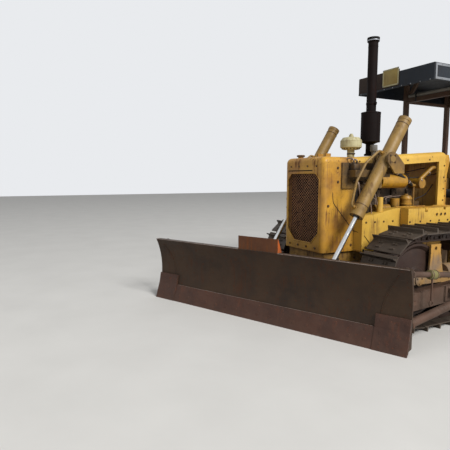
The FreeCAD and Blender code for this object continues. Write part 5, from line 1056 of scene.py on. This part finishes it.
# %% Floor plates
TREAD, FIRST_ROW, FENDER = 0.062, 0.940, 1.155
tread = [(-0.651 + column * TREAD, row, column, FLOOR) for row in range(8) for column in range(22)]
tread += [(side * (0.735 + column * TREAD), row, column, FENDER)
          for side, word in SIDES for row in range(21) for column in range(7)]
made = bmesh.new()
for x, row, column, z in tread:
    y = FIRST_ROW + row * TREAD
    levers = abs(x) < 0.300 and 1.180 < y < 1.310
    pedals = 0.40 < abs(x) < 0.54 and y < 1.050
    if z == FLOOR and (levers or pedals or y > 1.400):
        continue
    turned = Matrix.Rotation(math.radians(45 if (row + column) % 2 else -45), 4, "Z")
    bar = Matrix.Diagonal((0.034, 0.007, 0.0036, 1.0))
    bmesh.ops.create_cube(made, size=1.0, matrix=Matrix.Translation((x, y, z)) @ turned @ bar)
settle("TreadBars", made, "yellow_paint", "dirty_yellow")

# %% Tank and seat box
TANK_REAR = 2.249
made = bmesh.new()
drum(made, (0.250, 2.105, 1.938), UP * 0.020, 0.050, segments=32, rim=0.004)
slab(made, (0.215, 2.098, 1.957), (0.285, 2.112, 1.968), 0.003)
for x in (-0.330, 0.330):
    slab(made, (x - 0.022, TANK_REAR - 0.006, 1.165), (x + 0.022, TANK_REAR, 1.845), 0.002)
    bolts(made, BACK, 0.010, (x, TANK_REAR, 1.190), (x, TANK_REAR, 1.820))
drum(made, (0.0, TANK_REAR - 0.006, 1.200), BACK * 0.019, 0.020, segments=6, rim=0.002)
for side, word in SIDES:
    bolts(made, LEFT * side, 0.009, *((side * 0.430, y, z) for y in (1.510, 1.900) for z in (1.190, 1.540)))
settle("TankFittings", made, "yellow_paint", "bolt_steel")

# %% [markdown]
# ## Undercarriage
# The track frame carries the idler, the rollers and the sprocket's outer bearing. Each roller's axle ends
# in a retainer with two bolts, the idler's and sprocket's caps are bolted, the sprocket's rim is bolted to
# its hub, and the pivot's cap has a grease nipple.

# %% Undercarriage bolts
SPROCKET_AT, PIVOT_AT, PIVOT_HIGH, ROLLER_HIGH, FRAME_OUT = 1.877, 0.675, 0.500, 0.269, 1.080
for side, word in SIDES:
    out, face = LEFT * side, side * FRAME_OUT
    made = bmesh.new()
    for index in range(5):
        y = 0.085 + index * 0.26625
        drum(made, (face, y, ROLLER_HIGH), out * 0.010, 0.036, segments=24, rim=0.003)
        bolts(made, out, 0.012, (face, y - 0.056, ROLLER_HIGH), (face, y + 0.056, ROLLER_HIGH))
    drum(made, (face, IDLER_AT, AXLE_HIGH), out * 0.014, 0.062, segments=32, rim=0.004)
    bolts(made, out, 0.011, *ring((side * 1.094, IDLER_AT, AXLE_HIGH), 0.040, 3, BACK, UP, start=0.5))
    bolts(made, out, 0.012, *((face, -0.010 + index * 0.200, 0.540) for index in range(7)))
    bolts(made, out, 0.013, *((face, y, AXLE_HIGH) for y in (-0.300, -0.225, -0.150)))
    settle("FrameCaps" + word, made, "frame_steel", "muddy_frame")
    made = bmesh.new()
    for x, y, z, radius, count, size, start in (
        # the sprocket's cap, its rim, the final drive's case and the pivot's cap
        (1.120, SPROCKET_AT, AXLE_HIGH, 0.105, 10, 0.013, math.pi / 10),
        (0.966, SPROCKET_AT, AXLE_HIGH, 0.378, 18, 0.014, 0.0),
        (0.372, SPROCKET_AT, AXLE_HIGH, 0.326, 16, 0.014, 0.0),
        (1.314, PIVOT_AT, PIVOT_HIGH, 0.055, 3, 0.014, 0.3),
    ):
        bolts(made, out, size, *ring((side * x, y, z), radius, count, BACK, UP, start))
    drum(made, (side * 1.120, SPROCKET_AT, AXLE_HIGH), out * 0.012, 0.060, segments=32, rim=0.004)
    drum(made, (side * 1.313, PIVOT_AT, PIVOT_HIGH), out * 0.013, 0.008, 0.004, segments=12)
    settle("DriveBolts" + word, made, "dark_steel", "bolt_steel")
    made = bmesh.new()
    for y in (0.100, 0.285, 0.470):
        drum(made, (side * TRACK_MIDDLE, y - 0.009, 0.570), BACK * 0.018, 0.0905, segments=40, rim=0.003)
    settle("SpringBands" + word, made, "frame_steel", "muddy_frame")
    made = bmesh.new()
    for x, top in ((0.420, 0.664), (0.250, 0.664), (0.590, 0.645)):
        slab(made, (side * x - 0.022, -0.050, 0.576), (side * x + 0.022, 0.070, top), 0.003)
    settle("SpringClips" + word, made, "dark_steel")

# %% [markdown]
# ## Steering case and drawbar
# The case is closed behind by a bolted cover, and the drawbar's bracket is bolted under it.

# %% Rear bolts
CASE_REAR = 2.195
cover = CASE_REAR + 0.012
made = bmesh.new()
slab(made, (-0.270, CASE_REAR - 0.001, 0.600), (0.270, cover, 0.960), 0.004)
bolts(made, BACK, 0.012,
      *((x, cover, z) for x in (-0.250, -0.150, -0.050, 0.050, 0.150, 0.250) for z in (0.620, 0.940)),
      *((x, cover, z) for x in (-0.250, 0.250) for z in (0.700, 0.780, 0.860)))
drum(made, (0.0, CASE_REAR + 0.010, 0.660), BACK * 0.020, 0.022, segments=6, rim=0.003)
settle("RearCover", made, "yellow_paint", "dirty_yellow")
made = bmesh.new()
bolts(made, BACK, 0.014, *((x, 2.255, z) for x in (-0.085, 0.085) for z in (0.412, 0.518)))
for side, word in SIDES:
    bolts(made, LEFT * side, 0.012, *((side * 0.330, y, 0.700) for y in (-0.950, -0.700, 0.300, 0.900)))
settle("DrawbarBolts", made, "rusty_steel")

# %% [markdown]
# ## Push frame and struts
# The push arms are boxes with welded lug plates. Each strut has a screwed end with a lock nut, so the blade
# can be set, and the upper one is turned by its hanging handle. One adjuster was painted yellow-green.

# %% Welds of the push frame
BLADE_PLACE = Matrix.Translation((0.0, NOSE - 0.630, 0.0)) @ Matrix.Rotation(math.radians(23.9), 4, "Z")
ARM_OUT, STRUT_ALONG, STRUT_BACK = 1.290, 1.6025, 0.150


def arm_middle(back):
    """Height of the push arm's middle at a distance behind the nose."""
    return 0.390 + 0.110 * (back - 0.145) / 1.755


def arm_top(back):
    """Height of the push arm's upper face at a distance behind the nose."""
    return arm_middle(back) + 0.090 + 0.005 * (back - 0.145) / 1.755


runs = []
for side, word in SIDES:
    x, x_ear = side * (ARM_OUT + 0.001), side * (ARM_OUT + 0.017)
    for back in (0.280, 0.940, 1.600):
        middle, y = arm_middle(back), NOSE + back
        runs += [((x, edge, middle - 0.070), (x, edge, middle + 0.080)) for edge in (y - 0.081, y + 0.081)]
        runs += [((x_ear, y - 0.040, z), (x_ear, y + 0.040, z)) for z in (middle + 0.020, middle + 0.060)]
    for back in (0.300, 0.500, 0.800, 1.200, 1.500):
        runs.append(tuple((side * ARM_OUT, NOSE + at, arm_top(at)) for at in (back, back + 0.120)))
beads("PushFrameWelds", runs, "rusty_steel", "blade_frame", size=0.006)

# %% Nuts, collar and handles of the struts
for side, word in SIDES:
    back = 1.600 if side > 0 else 0.280
    lug = Vector((side * (ARM_OUT + 0.062), NOSE + back, arm_middle(back) + 0.020))
    made, collar, handle = bmesh.new(), bmesh.new(), []
    for height, rear_high, radius in ((0.740, 0.074, 0.028), (0.237, -0.034, 0.042)):
        front = BLADE_PLACE @ Vector((side * STRUT_ALONG, STRUT_BACK, height))
        rear = lug + UP * rear_high
        along, length = (rear - front).normalized(), (rear - front).length
        for start, way in ((front, along), (rear, -along)):
            drum(made, start + way * 0.056, way * 0.028, radius + 0.014, segments=6, rim=0.003)
            for step in range(5):
                drum(made, start + way * (0.024 + step * 0.006), way * 0.003, 0.0245, segments=16)
        bolts(made, UP, 0.018, front + UP * 0.046)
        # the upper strut alone has the adjuster with its handle
        if not handle:
            bolts(made, UP, 0.020, rear + UP * 0.042)
            lump = front + along * length * 0.22
            if side > 0:
                drum(collar, lump - along * 0.001, along * 0.112, 0.0455, segments=32, rim=0.006)
            for step in (0.012, 0.086):
                drum(made, lump + along * step, along * 0.012, 0.048, segments=32, rim=0.002)
            handle.append(ring(lump + along * 0.055 - UP * 0.292, 0.026, 8, BACK, UP))
    settle("StrutNuts" + word, made, "rusty_steel", body="blade_frame")
    if side > 0:
        settle("GreenCollar", collar, "rusty_steel", "green_paint", "blade_frame")
    else:
        collar.free()
    lines("HandleRing" + word, handle, 0.007, "rusty_steel", body="blade_frame", closed=True, sides=8)

# %% [markdown]
# ## Blade
# The cutting edge and the end bits are held by plow bolts, whose round heads lie almost flush, and they are
# renewed when worn. The ribs behind the hollow sheet are welded on both sides, in beads that follow its
# curve. Everything here is drawn in the blade's own directions, along it and back from it, and then turned
# to its angle.

# %% Plow bolts
HOLLOW, BLADE_HIGH, SKIN = 0.100, 0.813, 0.014
BEND = (BLADE_HIGH / 2) ** 2 / (2 * HOLLOW) + HOLLOW / 2
EDGE_HIGH, EDGE_THICK = 0.200, 0.019


def face_at(z):
    """How far back the blade's hollow front lies at a height."""
    return HOLLOW - BEND + math.sqrt(BEND ** 2 - (z - BLADE_HIGH / 2) ** 2)


def on_blade(along, back, up):
    """A point of the angled blade."""
    return BLADE_PLACE @ Vector((along, back, up))


made = bmesh.new()
flats = [(EDGE_THICK, (0.0, 0.0), (face_at(EDGE_HIGH), EDGE_HIGH), part, 0.0022,
          [index * 0.158 for index in range(-8, 9)]) for part in (0.36, 0.80)]
end_bit, wear_plate = (face_at(EDGE_HIGH) - 0.026, 0.206), (face_at(0.33) - 0.022, 0.334)
ends = [end * along for end in (-1, 1) for along in (1.410, 1.490, 1.570, 1.640)]
flats += [
    # how far the flat stands out, its lower and upper line as back and up, part of the way up, head, places
    (0.0, (-0.024, 0.0), end_bit, 0.36, 0.0024, ends), (0.0, (-0.024, 0.0), end_bit, 0.80, 0.0024, ends),
    (0.0, end_bit, wear_plate, 0.55, 0.0024, ends),
]
for proud, low, high, part, head, places in flats:
    rise = Vector((0.0, high[0] - low[0], high[1] - low[1]))
    outward = Vector((0.0, -rise.z, rise.y)).normalized()
    for along in places:
        at = Vector((along, *low)) + rise * part + outward * (proud - 0.002)
        drum(made, at, outward * (0.002 + head), 0.0165, 0.0145, segments=20)
bmesh.ops.transform(made, matrix=BLADE_PLACE, verts=made.verts)
settle("PlowBolts", made, "blade_steel", "worn_edge", "blade_frame")

# %% Blade welds
RIBS, RIB_HALF, SEAM_HIGH, GUARD_HALF = (-1.120, -0.760, -0.400, 0.400, 0.760, 1.120), 0.0095, 0.742, 0.269
levels = [0.205 + step * 0.0756 for step in range(8)]
runs = [[on_blade(rib + shift, face_at(z) + SKIN, z) for z in (low, high)]
        for rib in RIBS for shift in (-RIB_HALF, RIB_HALF) for low, high in zip(levels, levels[1:])]
for start, end in ((0.12, 0.39), (0.41, 0.75), (0.77, 1.11), (1.13, 1.655)):
    runs += [[on_blade(way * along, face_at(SEAM_HIGH) + SKIN, SEAM_HIGH) for along in (start, end)]
             for way in (-1, 1)]
guard_foot = face_at(BLADE_HIGH) + 0.001
runs.append([on_blade(along, guard_foot, BLADE_HIGH) for along in (-GUARD_HALF, GUARD_HALF)])
beads("BladeWelds", runs, "blade_steel", "blade_frame", size=0.0055, step=0.010)

# %% [markdown]
# Two thin lines of pale polished steel are painted highlights: on the blade's top edge, and on the step
# where the cutting edge starts. Near each end a wear plate is welded on; its inner seam sweeps up and out
# from the end bit.

# %% Highlight lines and wear plate seams
# pale steel on the top edge and on the cutting edge's step: painted highlight
tops = [on_blade(-1.668 + step * 0.2085, face_at(BLADE_HIGH) + 0.002,
                 BLADE_HIGH - 0.001) for step in range(17)]
steps = [on_blade(-1.33 + step * 0.1663, face_at(EDGE_HIGH) - 0.010, EDGE_HIGH + 0.005) for step in range(17)]
lines("EdgeHighlightLines", [tops, steps], 0.0035, "blade_steel", "edge_highlight", "blade_frame")
heights = [(step / 12, 0.345 + 0.40 * step / 12) for step in range(13)]
seams = [[on_blade(end * (1.395 + 0.17 * part ** 1.8), face_at(z) - 0.0015, z) for part, z in heights]
         for end in (-1, 1)]
lines("WearPlateSeams", seams, 0.0045, "blade_steel", body="blade_frame")

# %% [markdown]
# The spill guard's gusset at its left end was once touched up in orange, and still shows it.

# %% Orange gusset
top_back, top_up = face_at(BLADE_HIGH) + 0.005, BLADE_HIGH + 0.003
made = bmesh.new()
prism(made, [(GUARD_HALF - 0.0005, top_back + back, top_up + rise)
             for back, rise in ((0.0, 0.0), (0.083, 0.0), (0.010, 0.151), (0.0, 0.151))], LEFT * 0.002)
bmesh.ops.transform(made, matrix=BLADE_PLACE, verts=made.verts)
settle("OrangeGusset", made, "blade_steel", "orange_paint", "blade_frame")

# %% [markdown]
# ## Seat cushions
# The seat is black vinyl over foam: a closed, crowned form whose sides pull in between the corners, with
# piping sewn round its edge. It is padded the way the real one is: a rounded block becomes an even mesh,
# cloth simulation blows it up a little, and it stays flat where it rests on the seat's box or on the tank.


# %% Padding
def applied(piece):
    """Makes the modifiers' result the piece's own mesh."""
    result = bpy.data.meshes.new_from_object(piece.evaluated_get(bpy.context.evaluated_depsgraph_get()))
    piece.modifiers.clear()
    before = piece.data
    piece.data = result
    bpy.data.meshes.remove(before)


def blown_up(pad, cap):
    """Swells the pad by cloth simulation, with no point further than the cap."""
    before = [vert.co.copy() for vert in pad.data.vertices]
    padding = pad.modifiers.new("Padding", "CLOTH")
    padding.settings.use_pressure = True
    padding.settings.uniform_pressure_force = 4.0
    padding.settings.effector_weights.gravity = 0.0
    padding.point_cache.frame_start, padding.point_cache.frame_end = 1, 20
    for step in range(1, 21):
        bpy.context.scene.frame_set(step)
    applied(pad)
    for vert, start in zip(pad.data.vertices, before):
        moved = vert.co - start
        if moved.length > cap:
            vert.co = start + moved * (cap / moved.length)
    bpy.context.scene.frame_set(1)


def cushion(name, low, high, axis, rest_at, keep_above):
    """A padded block that is flat where it rests, at rest_at along one axis."""
    made = bmesh.new()
    slab(made, low, high, 0.026, 3)
    pad = put(name, meshed(name, made))
    voxels = pad.modifiers.new("Voxels", "REMESH")
    voxels.mode = "VOXEL"
    voxels.voxel_size = 0.006
    applied(pad)
    blown_up(pad, 0.024)
    for vert in pad.data.vertices:
        if (vert.co[axis] < rest_at) == keep_above:
            vert.co[axis] = rest_at
    pad.data.shade_smooth()
    pad.data.materials.clear()
    pad.data.materials.append(FINISH["black_vinyl"])
    smoother = pad.modifiers.new("Smoother", "SUBSURF")
    smoother.levels = smoother.render_levels = 1
    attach(pad, "tractor")
    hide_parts("seat_pads")
    print(name, len(pad.data.vertices), "points")
    return pad


base = cushion("BaseCushion", (-0.290, 1.446, 1.356), (0.290, 1.804, 1.448), 2, 1.351, True)
rest = cushion("BackCushion", (-0.290, 1.876, 1.500), (0.290, 1.958, 1.842), 1, 1.964, False)

# %% [markdown]
# The piping is a thin cord in a strip of vinyl. Its path is a rectangle round the cushion's edge, laid on
# the padded surface by looking for the nearest point.


# %% Piping
def piped(name, pad, corners):
    """A closed bead through the corners, laid on a cushion's surface."""
    surface = BVHTree.FromObject(pad, bpy.context.evaluated_depsgraph_get())
    path = []
    for start, end in zip(corners, corners[1:] + corners[:1]):
        start, end = Vector(start), Vector(end)
        for step in range(14):
            path.append(surface.find_nearest(start.lerp(end, (step + 0.5) / 14))[0])
    return lines(name, [path], 0.0045, "black_vinyl", closed=True, sides=8)


HALF_SEAT, SEAT_FRONT, SEAT_REAR, REST_FRONT = 0.300, 1.436, 1.814, 1.868
for name, z in (("BasePipingTop", 1.458), ("BasePipingLow", 1.366)):
    piped(name, base, [(-HALF_SEAT, SEAT_FRONT, z), (HALF_SEAT, SEAT_FRONT, z), (HALF_SEAT, SEAT_REAR, z),
                       (-HALF_SEAT, SEAT_REAR, z)])
piped("BackPiping", rest, [(x, REST_FRONT, z) for x, z in (
    (-HALF_SEAT, 1.490), (HALF_SEAT, 1.490), (HALF_SEAT, 1.852), (-HALF_SEAT, 1.852))])
